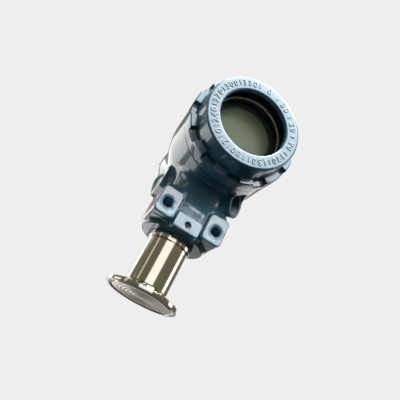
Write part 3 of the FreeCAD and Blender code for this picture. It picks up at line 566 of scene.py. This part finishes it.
# %% The ring of numbers
def number_ring():
    """Raised degree numbers round the face, their feet towards the window."""
    shapes = {c: digit_mesh(c) for c in "0123456789"}
    shapes["bar"] = bar_mesh()
    marks = []
    for degrees in range(0, 360, 30):
        label = str(degrees)
        for k, character in enumerate(label):
            shift = (k - (len(label) - 1) / 2) * DIGIT_STEP
            marks.append((character, degrees + math.degrees(shift / MARK_R)))
        marks.append(("bar", degrees + 15))
    vertices = []
    faces = []
    for character, degrees in marks:
        points, polygons = shapes[character]
        a = math.radians(90 - degrees)
        across = np.array((math.sin(a), 0.0, -math.cos(a)))
        outward = np.array((math.cos(a), 0.0, math.sin(a)))
        centre = np.array((0, NOSE_Y - 0.02, AXIS_Z)) + outward * MARK_R
        base = len(vertices)
        vertices += list(centre + points[:, :1] * across + points[:, 1:2] * outward
                         - points[:, 2:] * np.array((0, 1, 0)))
        faces += [[base + k for k in polygon] for polygon in polygons]
    print("raised marks:", len(marks), "with", len(faces), "faces")
    return new_object("raised_numbers", vertices, faces, [enamel])

dress(number_ring(), "display_cover_group", "blue_enamel")

# %% [markdown]
# ## Behind the window
# Through the thick glass one sees a black recess with two thin light lines: the edges of the threaded ring
# that holds the glass. The ring is one lathe sweep with two finishes, bright on its narrow bevels and
# dark everywhere else, picked face by face from the height of the section.

# %% Window ring
RING_LOW, RING_HIGH = box_mm("window_retaining_ring")
RING_FRONT = RING_LOW[1]
RING_BACK = RING_HIGH[1]
RING_R = RING_HIGH[0]
ring_points = section([
    (31.0, RING_FRONT), (RING_R, RING_FRONT), (RING_R, RING_BACK, 0.5), (32.2, RING_BACK, 0.3),
    (31.1, RING_BACK - 0.9, 0.2), (31.1, RING_FRONT + 2.2, 0.2), (30.7, RING_FRONT + 1.8, 0.2),
    (30.7, RING_FRONT + 1.2, 0.2)])
print("window ring from y", round(RING_FRONT, 1), "to", round(RING_BACK, 1), "radius", round(RING_R, 1))

def bright_bevel(a, b):
    """1 on the two bevels that catch the light."""
    middle = (a[1] + b[1]) / 2
    radius = (a[0] + b[0]) / 2
    rear_bevel = radius < 32.3 and middle > RING_BACK - 1.1 and middle < RING_BACK - 0.02
    front_bevel = radius < 30.95 and middle < RING_FRONT + 2.1
    return 1 if rear_bevel or front_bevel else 0

ring = lathe("window_ring", ring_points, "Y", [dark_ring, bright_edge], pick=bright_bevel)
dress(ring, "display_cover_group", "ring_metal", "window_retaining_ring")

# %% [markdown]
# ### Glass and gasket
# The disc is ground flat, with a small bevel at both edges. A rubber sleeve sits between its edge and the
# metal. The disc's edge is cemented to it, so it is black as well, and no stray light runs round the rim.

# %% Glass disc and its gasket
GLASS_LOW, GLASS_HIGH = box_mm("window_glass")
GLASS_R = GLASS_HIGH[0]
GLASS_FRONT = GLASS_LOW[1]
GLASS_BACK = GLASS_HIGH[1]

def black_edge(a, b):
    """1 on the cemented edge of the disc."""
    return 1 if min(a[0], b[0]) > GLASS_R - 0.45 else 0

disc = lathe("window_disc", section([
    (0, GLASS_FRONT), (GLASS_R, GLASS_FRONT, 0.5), (GLASS_R, GLASS_BACK, 0.5), (0, GLASS_BACK)]),
    "Y", [glass, rubber], pick=black_edge)
disc.visible_shadow = False
dress(disc, "display_cover_group", "clear_glass", "window_glass")
gasket = lathe("glass_gasket", section([
    (GLASS_R, GLASS_FRONT, 0.3), (SEAT_R, GLASS_FRONT, 0.3), (SEAT_R, GLASS_BACK, 0.3),
    (GLASS_R, GLASS_BACK, 0.3)]), "Y", [rubber])
dress(gasket, "display_cover_group", "black_rubber", "window_gasket")

# %% [markdown]
# ## Display
# The bezel is a moulded cup with a bevelled edge. The cell in it is a flat round of glass, so the model's
# own solid serves, with a display's colour on it.

# %% Bezel and display cell
BEZEL_LOW, BEZEL_HIGH = box_mm("display_bezel")
SCREEN_LOW, SCREEN_HIGH = box_mm("display_screen")
SCREEN_R = SCREEN_HIGH[0]
SCREEN_BACK = SCREEN_HIGH[1]
BEZEL_R = BEZEL_HIGH[0]
BEZEL_FRONT = BEZEL_LOW[1]
BEZEL_BACK = BEZEL_HIGH[1]
BEZEL_WALL = 2.0
LEDGE = 3.0
LEDGE_THICK = 1.2
bezel = lathe("display_surround", section([
    (SCREEN_R - 1.2, BEZEL_FRONT + 0.8), (SCREEN_R - 0.6, BEZEL_FRONT, 0.25), (BEZEL_R, BEZEL_FRONT, 1.2),
    (BEZEL_R, BEZEL_BACK), (BEZEL_R - BEZEL_WALL, BEZEL_BACK),
    (BEZEL_R - BEZEL_WALL, SCREEN_BACK + LEDGE_THICK), (SCREEN_R - LEDGE, SCREEN_BACK + LEDGE_THICK),
    (SCREEN_R - LEDGE, SCREEN_BACK), (SCREEN_R, SCREEN_BACK), (SCREEN_R, SCREEN_LOW[1])]), "Y", [plastic])
dress(bezel, "electronics_housing", "black_plastic", "display_bezel")

# %% [markdown]
# ## Seals
# The black line between cover and casting is a rubber ring squeezed in its groove. It bulges out of the
# seam a little, so its section is a bar with a step and not a circle. The neck's ring lies inside, in a
# groove of the collar, and keeps its rounded edges.

# %% O-rings
SEAL_WIDE = 2.4
SEAL_SWELL = 0.35
NECK_SEAL_WIDE = 1.7

def cover_seal(name, node, body, flange, face):
    """A squeezed ring that fills its groove and swells in the seam between flange and casting."""
    low, high = box_mm(node)
    outer = high[0]
    groove_end = low[1] if flange < face else high[1]
    inwards = math.copysign(0.1, face - flange)
    bar = [(outer - SEAL_WIDE, groove_end), (outer, groove_end), (outer, flange),
           (outer + SEAL_SWELL, flange + inwards), (outer + SEAL_SWELL, face - inwards),
           (outer - SEAL_WIDE, face - inwards)]
    dress(lathe(name, np.array(bar), "Y", [rubber]), body, "black_rubber", node)

def neck_seal():
    """The ring in the collar, with rounded edges."""
    low, high = box_mm("neck_o_ring")
    outer, inner = high[0], high[0] - NECK_SEAL_WIDE
    bar = section([(inner, low[2], 0.7), (outer, low[2], 0.7), (outer, high[2], 0.7), (inner, high[2], 0.7)])
    dress(lathe("neck_seal", bar, "Z", [rubber]), "process_side", "black_rubber", "neck_o_ring")

cover_seal("display_cover_seal", "display_cover_o_ring", "display_seal", FLANGE_Y, -FRONT_FACE)
cover_seal("rear_cover_seal", "rear_cover_o_ring", "rear_seal", REAR_FLANGE, REAR_FACE)
neck_seal()

# %% [markdown]
# ## The casting
# A casting has no sharp inside corner: the metal flows from barrel to neck block to lug in one skin. Cut
# and joined solids need a fillet for each such corner. A distance field does it in one go. It is a
# function that gives, for any point, the distance to the surface, negative inside. Two of them are joined
# by taking the smaller value, and a soft version of "smaller" leaves a fillet. The functions below are
# the vocabulary: a rounded box, a rod, and the soft union and cut.

# %% Distance field vocabulary
def soft_union(a, b, k):
    """a and b in one skin, with a fillet about k wide between them."""
    h = np.clip(0.5 + 0.5 * (b - a) / k, 0, 1)
    return b * (1 - h) + a * h - k * h * (1 - h)


def soft_cut(a, b, k):
    """a without b, with its edges rounded."""
    return -soft_union(-a, b, k)


def rod_field(p, start, direction, r0, length, grow=0.0):
    """Rod from a start point; grow is how much its radius gains along its length."""
    d = np.asarray(direction, float)
    q = p - np.asarray(start, float)
    along = q @ d
    away = np.sqrt(np.maximum((q * q).sum(-1) - along ** 2, 0))
    radius = r0 + grow * np.clip(along / length, 0, 1)
    side = away - radius
    end = np.maximum(-along, along - length)
    return np.minimum(np.maximum(side, end), 0) + np.hypot(np.maximum(side, 0), np.maximum(end, 0))


def box_field(p, low, high, rounding):
    """Box between two corners, with all its edges rounded."""
    low = np.asarray(low, float)
    high = np.asarray(high, float)
    q = np.abs(p - (low + high) / 2) - (high - low) / 2 + rounding
    outside = np.sqrt((np.maximum(q, 0) ** 2).sum(-1))
    return outside + np.minimum(q.max(-1), 0) - rounding


def plate_field(p, low, high, corner, edge):
    """A plate that faces -Y: rounded corners in X and Z, and softened edges."""
    low = np.asarray(low, float)
    high = np.asarray(high, float)
    q = np.abs(p - (low + high) / 2) - (high - low) / 2
    flat = np.stack([q[:, 0], q[:, 2]], -1) + corner
    across = np.hypot(np.maximum(flat[:, 0], 0), np.maximum(flat[:, 1], 0))
    a = across + np.minimum(flat.max(-1), 0) - corner + edge
    b = q[:, 1] + edge
    return np.minimum(np.maximum(a, b), 0) + np.hypot(np.maximum(a, 0), np.maximum(b, 0)) - edge

# %% [markdown]
# ### Barrel and throat
# The barrel is straight in front and draws in towards the rear. Under it stands a round block, whose axis
# leans forward as it rises. Above the lugs the block grows slimmer from side to side, and it then flows
# into the barrel with a fillet. `ease` is the smooth step that shapes both.

# %% Barrel and block
FRONT_R = 48.7
REAR_DRAW_IN = 6.2
BLOCK_R = 29.3
BLOCK_FLARE = 2.2
LUG_TOP = 81.0

def ease(t):
    """A smooth step from 0 to 1."""
    t = np.clip(t, 0, 1)
    return t * t * (3 - 2 * t)


def barrel_and_block(p):
    """The barrel, and the block that carries it, in one skin."""
    x, y, z = p[:, 0], p[:, 1], p[:, 2]
    side_wall = np.hypot(x, z - AXIS_Z) - (FRONT_R - REAR_DRAW_IN * ease((y + 16.0) / 50.0))
    barrel = np.maximum(side_wall, np.maximum(-FRONT_FACE - y, y - REAR_FACE))
    slim = 1 + 0.17 * ease((z - LUG_TOP) / 13.0)
    radius = BLOCK_R + BLOCK_FLARE * np.clip((z - BASE_Z) / 22.6, 0, 1) ** 0.8
    rise = np.maximum(z - LUG_TOP + 2.0, 0)
    lean = 0.40 * rise ** 2 / (rise + 4.0)
    ends = np.maximum(BASE_Z - z, z - AXIS_Z + 10)
    block = soft_cut(np.hypot(x * slim, y - np.clip(y, -lean, 0)) - radius, -ends, 1.2)
    return np.maximum(soft_union(barrel, block, 7.0), -FRONT_FACE - y)

print("barrel radius", FRONT_R, "in front and", round(FRONT_R - REAR_DRAW_IN, 1), "at the rear")

# %% [markdown]
# ### Lugs, pad and bosses
# The left and right lug are mirror images, so their field is asked with the size of x. A sloping web backs
# each lug. The pad between them holds the lock screw. Both conduit bosses lie on one line, and a
# flat-sided block carries the left one.

# %% Lugs, pad and bosses
LUG_FACE = -35.1
LUG_X = 23.4
LUG_Z = 70.1
PAD_Z = 61.8
CONDUIT_Z = 107.0
CONDUIT_REACH = 42.0
CONDUIT_TURN = math.radians(42.0)
CONDUIT_OUT = np.array([math.cos(CONDUIT_TURN), -math.sin(CONDUIT_TURN), 0.0])
BOSS_R = 13.2
BOSS_ROUND = 0.8

def casting_outside(p):
    """The whole outside of the casting, before any machining."""
    y, z = p[:, 1], p[:, 2]
    both_sides = np.stack([np.abs(p[:, 0]), y, z], -1)
    lug = plate_field(both_sides, (13.5, LUG_FACE, 58.7), (32.0, 4.0, 84.4), 4.0, 1.1)
    web = box_field(both_sides, (14.5, -30.0, 59.5), (30.5, 4.0, 92.0), 4.0)
    above_web = (z - 86.0) * 0.62 + (-y - 31.0) * 0.78
    pad = plate_field(p, (-12.0, LUG_FACE, BASE_Z), (12.0, -10.0, 69.6), 2.2, 1.0)
    side_block = box_field(p, (-35.3, -5.5, 93.0), (-20.3, 22.0, 124.0), 0.5)
    body = soft_union(barrel_and_block(p), soft_cut(web, -above_web, 3.0), 5.0)
    body = soft_union(body, lug, 2.4)
    body = soft_union(body, pad, 2.0)
    body = soft_union(body, side_block, 1.0)
    for side in (-1, 1):
        boss = rod_field(p, (0, 0, CONDUIT_Z), CONDUIT_OUT * side, BOSS_R - BOSS_ROUND,
                         CONDUIT_REACH - BOSS_ROUND) - BOSS_ROUND
        body = soft_union(body, boss, 5.0)
    return body

print("lug centres", 2 * LUG_X, "mm apart, conduit mouths", 2 * CONDUIT_REACH, "mm apart")

# %% [markdown]
# ### Machining
# The barrel is bored from both ends, each time with a wide step for the cover's thread. One bore takes the
# neck and leads up into the room. The conduit bores go in at a slant and meet a short way upwards. Tools
# leave edges that are almost sharp, and so do these cuts.

# %% Bores, holes and the inner post
FRONT_BORE, FRONT_STEP = 40.0, 44.0
REAR_BORE, REAR_STEP = 35.5, 38.5
STEP_DEPTH = 17.6
NECK_BORE, CABLE_WAY = 19.85, 11.5
ENTRY_BORE = 10.4
LUG_HOLE, LUG_SINK = 4.25, 6.5
TOOL_EDGE = 0.7

def casting(p):
    """The finished casting: the outside less every cut, plus the post inside for the ground screw."""
    front, rear = (0, -FRONT_FACE - 2, AXIS_Z), (0, REAR_FACE + 2, AXIS_Z)
    cuts = [
        (front, (0, 1, 0), FRONT_STEP, STEP_DEPTH),
        (front, (0, 1, 0), FRONT_BORE, FRONT_FACE + 1.0),
        (rear, (0, -1, 0), REAR_STEP, STEP_DEPTH),
        (rear, (0, -1, 0), REAR_BORE, REAR_FACE - 3.0),
        ((0, 0, BASE_Z - 2), (0, 0, 1), NECK_BORE, 31.6),
        ((0, 0, 80.0), (0, 0, 1), CABLE_WAY, 34.0),
        ((0, LUG_FACE - 1, PAD_Z), (0, 1, 0), 2.5, 20.0),
    ]
    for side in (-1, 1):
        out = CONDUIT_OUT * side
        middle = np.array([0, 0, CONDUIT_Z])
        mouth = middle + out * (CONDUIT_REACH + 1)
        cuts += [
            (mouth, -out, ENTRY_BORE, 17.0),
            (mouth, out, ENTRY_BORE + 0.2, 13.0),
            (middle + out * 29.0, (0, 0, 1), 5.0, 18.6),
            ((side * LUG_X, LUG_FACE, LUG_Z), (0, 1, 0), LUG_HOLE, 14.0),
            ((side * LUG_X, LUG_FACE - 0.5, LUG_Z), (0, 1, 0), LUG_SINK, 1.5, -3.4),
        ]
    body = casting_outside(p)
    for cut in cuts:
        body = soft_cut(body, rod_field(p, *cut), TOOL_EDGE)
    post = rod_field(p, (14.0, 3.0, AXIS_Z - 26.5), (0, 1, 0), 5.0, 23.0)
    return soft_union(body, post, 1.0)

# %% [markdown]
# ## From field to mesh
# `surface_net` looks at the field on a grid. Each grid cell that the surface crosses gets one point, and
# each grid edge that it crosses gets one face between the four cells round it. The points are then pushed
# along the field's slope until they lie on the surface, and the same slope gives each its exact normal,
# so the enamel mirrors its surroundings without a trace of facets.

# %% Mesh a distance field
def sample(field, low, cell, shape):
    """The field on a grid, one slab at a time to spare memory."""
    y = low[1] + np.arange(shape[1]) * cell
    z = low[2] + np.arange(shape[2]) * cell
    yy, zz = np.meshgrid(y, z, indexing="ij")
    values = np.empty(shape, np.float32)
    for i in range(shape[0]):
        p = np.stack([np.full(yy.size, low[0] + i * cell), yy.ravel(), zz.ravel()], -1)
        values[i] = field(p).reshape(yy.shape)
    return values


def slope(field, p, step=0.05):
    """The field's gradient."""
    parts = []
    for axis in range(3):
        d = np.zeros(3)
        d[axis] = step
        parts.append((field(p + d) - field(p - d)) / (2 * step))
    return np.stack(parts, -1)


# %% [markdown]
# The net itself: a point in each crossed cell and a face round each crossed edge.

# %% Points and faces of the net
def pair(axis, rest):
    """Index of the lower and the upper grid point of every edge along an axis."""
    lower, upper = [rest] * 3, [rest] * 3
    lower[axis], upper[axis] = slice(0, -1), slice(1, None)
    return tuple(lower), tuple(upper)


def net_points(values, inside):
    """Which cells the surface crosses, and the mean of its crossings in each, counted in cells."""
    n = tuple(s - 1 for s in values.shape)
    total = np.zeros(n + (3,), np.float32)
    hits = np.zeros(n, np.float32)
    for axis in range(3):
        lower, upper = pair(axis, slice(None))
        va, vb = values[lower], values[upper]
        cross = inside[lower] != inside[upper]
        share = np.where(cross, va / np.where(cross, va - vb, 1), 0)
        u, v = [k for k in range(3) if k != axis]
        for du in (0, 1):
            for dv in (0, 1):
                corner = [slice(None)] * 3
                corner[u], corner[v] = slice(du, du + n[u]), slice(dv, dv + n[v])
                c = cross[tuple(corner)]
                hits += c
                total[..., axis] += share[tuple(corner)] * c
                total[..., u] += du * c
                total[..., v] += dv * c
    used = hits > 0
    return used, np.argwhere(used) + total[used] / hits[used][:, None]


def net_faces(inside, index):
    """A face round each grid edge that the surface crosses, turned outwards."""
    quads = []
    for axis in range(3):
        u, v = (axis + 1) % 3, (axis + 2) % 3
        lower, upper = pair(axis, slice(1, -1))
        ia, ib = inside[lower], inside[upper]
        spots = np.argwhere(ia != ib)
        outward = ia[ia != ib]
        spots[:, u] += 1
        spots[:, v] += 1
        ring = []
        for du, dv in ((-1, -1), (0, -1), (0, 0), (-1, 0)):
            s = spots.copy()
            s[:, u] += du
            s[:, v] += dv
            ring.append(index[s[:, 0], s[:, 1], s[:, 2]])
        quad = np.stack(ring, -1)
        quad[~outward] = quad[~outward][:, ::-1]
        quads.append(quad)
    return np.concatenate(quads)

# %% [markdown]
# Four short steps along the slope settle the points on the surface. Then the casting is meshed.

# %% From net to object
def surface_net(field, low, high, cell):
    """Points, quads and normals of the field's zero surface."""
    low = np.asarray(low, float)
    shape = tuple(int(math.ceil(v)) + 1 for v in (np.asarray(high, float) - low) / cell)
    values = sample(field, low, cell, shape)
    inside = values < 0
    used, places = net_points(values, inside)
    index = np.full(used.shape, -1, np.int64)
    index[used] = np.arange(used.sum())
    points = low + places * cell
    for _ in range(4):
        g = slope(field, points)
        move = field(points)[:, None] * g / np.maximum((g * g).sum(-1, keepdims=True), 0.2)
        points = points - np.clip(move, -0.4 * cell, 0.4 * cell)
    normals = slope(field, points)
    normals /= np.maximum(np.linalg.norm(normals, axis=1, keepdims=True), 1e-6)
    return points, net_faces(inside, index), normals


def field_object(name, field, low, high, cell, mat):
    """An object that follows the field, with the field's own normals."""
    points, quads, normals = surface_net(field, low, high, cell)
    mesh = bpy.data.meshes.new(name)
    mesh.from_pydata((points * MM).tolist(), [], quads.tolist())
    mesh.polygons.foreach_set("use_smooth", [True] * len(mesh.polygons))
    mesh.normals_split_custom_set_from_vertices(normals.tolist())
    mesh.materials.append(mat)
    obj = bpy.data.objects.new(name, mesh)
    bpy.context.scene.collection.objects.link(obj)
    print(name, len(quads), "quads from a grid of", cell, "mm")
    return obj

CELL = 0.9
casting_piece = field_object("housing_casting", casting, (-51, -52, 53.5), (51, 50.5, 201.5), CELL, enamel)
dress(casting_piece, "electronics_housing", "blue_enamel", "housing")

# %% [markdown]
# ## Rims of the bracket holes
# The mould leaves a narrow raised lip round each bracket hole, and it catches the light as a thin ring. A
# lathe sweep makes it: a low rounded bump on the lug's face.

# %% Two raised rims
RIM_R = 6.6
RIM_HALF, RIM_HEIGHT = 0.42, 0.34

def hole_rim(name, side):
    """A low round lip on the face of one lug."""
    bump = [(RIM_R + RIM_HALF * math.cos(t), LUG_FACE + 0.12 - RIM_HEIGHT * math.sin(t))
            for t in np.linspace(-0.4, math.pi + 0.4, 11)]
    rim = lathe(name, np.array(bump), "Y", [enamel], 96)
    rim.data.transform(Matrix.Translation(Vector((side * LUG_X, 0, LUG_Z - AXIS_Z)) * MM))
    return dress(rim, "electronics_housing", "blue_enamel")

hole_rim("bracket_hole_rim_right", 1)
hole_rim("bracket_hole_rim_left", -1)

# %% [markdown]
# ## Conduit threads
# Each conduit entry is tapped. The thread is a sleeve whose inner wall is a helix: one lathe sweep in
# which the depth of the groove follows the height and the angle together. It is swept upright and then
# laid along its entry.

# %% Tapped conduit entries
ENTRY_R = 9.6
ENTRY_PITCH = 1.8
ENTRY_DEPTH = 0.62

def thread_shape(r, h, a):
    """Cuts the helix into the sleeve's inner wall and lets it fade at both ends."""
    groove = ENTRY_DEPTH * (0.5 - 0.5 * np.cos(2 * math.pi * (h / ENTRY_PITCH - a / (2 * math.pi))))
    fade = np.clip(h, 0, 1) * np.clip(14.4 - h, 0, 1)
    return np.where(r < ENTRY_R + 0.1, r + groove * fade, r), h

def conduit_thread(name, side):
    """One tapped sleeve, laid along its entry."""
    inner = [(ENTRY_R, h) for h in np.arange(14.5, 0.2, -ENTRY_PITCH / 8)]
    sleeve = lathe(name, np.array([(10.45, 0.0), (10.45, 14.8), (10.15, 14.8)] + inner + [(9.8, 0.0)]), "Z",
                   [enamel], 96, thread_shape)
    out = CONDUIT_OUT * side
    side_way = np.cross((0, 0, 1), out)
    turn = Matrix((side_way, (0, 0, 1), out)).transposed().to_4x4()
    start = np.array([0, 0, CONDUIT_Z]) + out * (CONDUIT_REACH - 15.4)
    sleeve.data.transform(Matrix.Translation(start * MM) @ turn)
    return dress(sleeve, "electronics_housing", "blue_enamel")

conduit_thread("conduit_thread_right", 1)
conduit_thread("conduit_thread_left", -1)

# %% [markdown]
# ## Materials for the pieces that keep their model
# The remaining nodes have the right shape already, so they only get a finish.

# %% Finish the carried-over nodes
KEPT = {
    "display_screen": cell, "display_board": board, "display_standoffs": zinc, "electronics_module": plastic,
    "module_screws": zinc, "terminal_block": plastic, "terminal_block_screws": zinc,
    "terminal_washers": zinc, "terminal_screws": zinc, "ground_washer": zinc, "ground_screw": zinc,
    "neck_lock_screw": zinc, "capillary_tube": steel, "pressure_sensor": steel, "sensor_seat": steel,
    "sensor_board": board}
for node, mat in KEPT.items():
    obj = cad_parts[node]
    obj.data.materials.clear()
    obj.data.materials.append(mat)
print("finished", len(KEPT), "nodes of the model")

# %% [markdown]
# ## Floor, light and surroundings
# A glossy coat shows what surrounds it, so the studio is part of the finish. Large soft panels make the
# broad white streaks on the barrel and the neck; the dim room between them makes the deep blue. The floor
# is a plain pale sheet. The portrait looks up from under its level, so the sheet lets that view through.

# %% Floor
def make_floor():
    """A pale sheet just under the ferrule, for the camera only and clear from below."""
    bpy.ops.mesh.primitive_grid_add(x_subdivisions=8, y_subdivisions=8, size=3.0, location=(0, 0, -0.0005))
    floor = bpy.context.object
    floor.name = "studio_floor"
    mat = bpy.data.materials.new("pale_floor")
    mat.use_nodes = True
    nodes, links = mat.node_tree.nodes, mat.node_tree.links
    shader = nodes["Principled BSDF"]
    shader.inputs["Base Color"].default_value = (0.80, 0.80, 0.80, 1)
    shader.inputs["Roughness"].default_value = 0.8
    clear = nodes.new("ShaderNodeBsdfTransparent")
    path = nodes.new("ShaderNodeLightPath")
    side = nodes.new("ShaderNodeNewGeometry")
    both = nodes.new("ShaderNodeMath")
    both.operation = "MULTIPLY"
    mix = nodes.new("ShaderNodeMixShader")
    links.new(path.outputs["Is Camera Ray"], both.inputs[0])
    links.new(side.outputs["Backfacing"], both.inputs[1])
    links.new(both.outputs[0], mix.inputs["Fac"])
    links.new(shader.outputs["BSDF"], mix.inputs[1])
    links.new(clear.outputs["BSDF"], mix.inputs[2])
    links.new(mix.outputs["Shader"], nodes["Material Output"].inputs["Surface"])
    floor.data.materials.append(mat)
    for ray in ("shadow", "glossy", "diffuse", "transmission"):
        setattr(floor, "visible_" + ray, False)
    print("made", floor.name)

make_floor()

# %% [markdown]
# The room behind it is pale for the camera and dim in reflections, with a soft brightening upwards.

# %% Room
def make_room():
    """A world of two looks: one for the camera, one for everything else."""
    world = bpy.data.worlds.new("studio_room")
    bpy.context.scene.world = world
    world.use_nodes = True
    nodes, links = world.node_tree.nodes, world.node_tree.links
    background = nodes["Background"]
    coords = nodes.new("ShaderNodeTexCoord")
    split = nodes.new("ShaderNodeSeparateXYZ")
    ramp = nodes.new("ShaderNodeValToRGB")
    ramp.color_ramp.elements[0].position = 0.38
    ramp.color_ramp.elements[0].color = (0.010, 0.012, 0.014, 1)
    ramp.color_ramp.elements[1].position = 0.66
    ramp.color_ramp.elements[1].color = (0.20, 0.183, 0.118, 1)
    height = nodes.new("ShaderNodeMapRange")
    height.inputs["From Min"].default_value = -1.0
    path = nodes.new("ShaderNodeLightPath")
    mix = nodes.new("ShaderNodeMix")
    mix.data_type = "RGBA"
    mix.inputs["B"].default_value = (0.855, 0.855, 0.855, 1)
    links.new(coords.outputs["Generated"], split.inputs[0])
    links.new(split.outputs["Z"], height.inputs["Value"])
    links.new(height.outputs["Result"], ramp.inputs["Fac"])
    links.new(ramp.outputs["Color"], mix.inputs["A"])
    links.new(path.outputs["Is Camera Ray"], mix.inputs["Factor"])
    links.new(mix.outputs["Result"], background.inputs["Color"])


make_room()
bpy.context.scene.view_settings.view_transform = "Standard"
print("made", bpy.context.scene.world.name)

# %% [markdown]
# ### Soft panels
# Each panel stands where the enamel or the steel mirrors it towards the camera. Its place is a direction
# from the middle of the instrument, and its strength is the brightness that a mirror would show there. The
# long panel in front gives the cover's face its sheen, and the strips at the sides line the neck.

# %% Soft panels
def panel(name, place, target, width, height, power, tint=(1, 1, 1)):
    """A rectangular soft light that faces its target."""
    data = bpy.data.lights.new(name, "AREA")
    data.shape = "RECTANGLE"
    data.size = width
    data.size_y = height
    data.energy = power
    data.color = tint
    lamp = bpy.data.objects.new(name, data)
    lamp.location = place
    aim = Vector(target) - Vector(place)
    lamp.rotation_euler = aim.to_track_quat("-Z", "Y").to_euler()
    bpy.context.scene.collection.objects.link(lamp)
    return lamp

CENTRE = np.array((0, 0, 0.12))

def panel_from(name, direction, distance, width, height, brightness, tint=(1, 1, 1)):
    """A panel seen from the instrument in a direction; brightness is what a mirror would show."""
    d = np.array(direction, float)
    place = CENTRE + d / np.linalg.norm(d) * distance
    return panel(name, place, CENTRE, width, height, brightness * math.pi * width * height, tint)

PANELS = (
    ("back_left_panel", (-0.52, 0.82, 0.17), 1.0, 0.62, 0.66, 1.6),
    ("back_low_left_panel", (-0.13, 0.92, -0.38), 1.0, 0.40, 0.30, 1.0),
    ("back_low_panel", (0.18, 0.90, -0.42), 1.0, 0.45, 0.45, 0.42, (1.0, 0.95, 0.86)),
    ("back_right_panel", (0.58, 0.80, 0.04), 1.0, 0.55, 0.62, 0.9),
    ("front_low_panel", (-0.155, -0.975, 0.14), 1.1, 0.84, 0.26, 1.3),
    ("front_lug_panel", (0.16, -0.89, 0.393), 1.1, 0.72, 0.20, 5.6),
    ("front_high_panel", (0.13, -0.74, 0.67), 1.1, 0.72, 0.48, 4.2),
    ("top_panel", (0.02, -0.36, 0.93), 1.0, 0.85, 0.44, 17.0),
    ("left_strip", (-0.95, -0.29, 0.22), 1.0, 0.14, 0.5, 0.62, (1.0, 0.98, 0.84)),
    ("left_back_strip", (-0.86, 0.42, 0.30), 1.0, 0.24, 0.22, 0.8),
    ("left_low_panel", (-0.90, 0.23, -0.02), 1.0, 0.50, 0.20, 1.6),
    ("left_under_panel", (-0.71, 0.63, -0.28), 1.0, 0.34, 0.44, 1.9),
    ("left_deep_panel", (-0.45, 0.78, -0.44), 1.0, 0.26, 0.34, 1.2),
    ("back_top_panel", (0.05, 0.50, 0.86), 1.0, 0.60, 0.40, 3.4),
    ("right_strip", (0.985, -0.10, 0.22), 1.0, 0.34, 0.5, 1.9, (1.0, 0.97, 0.91)),
)
for entry in PANELS:
    panel_from(*entry)
print("soft panels:", len(PANELS))

# %% [markdown]
# ## Two beams for the bracket lugs
# The lugs and the pad stand in the shade of the barrel, so they get a light of their own. On a bench this
# is a small lamp behind a honeycomb: its light is nearly parallel and leaves the throat above them dark.

# %% Two narrow beams on the lugs and the pad
BEAM_TARGET = np.array((0.0, LUG_FACE, 65.0)) * MM
BEAM_WIDTH, BEAM_HEIGHT = 0.062, 0.016

def beam(name, turn, rise=20.0, distance=0.45, light=1.7):
    """Nearly parallel light on the bracket lugs only, from an angle beside the display's direction."""
    a, e = math.radians(turn), math.radians(rise)
    way = np.array((math.sin(a) * math.cos(e), -math.cos(a) * math.cos(e), math.sin(e)))
    lamp = panel(name, BEAM_TARGET + way * distance, BEAM_TARGET, BEAM_WIDTH, BEAM_HEIGHT,
                 light * BEAM_WIDTH * BEAM_HEIGHT)
    lamp.data.spread = math.radians(4.0)

beam("beam_from_right", 42.0)
beam("beam_from_left", -38.0)
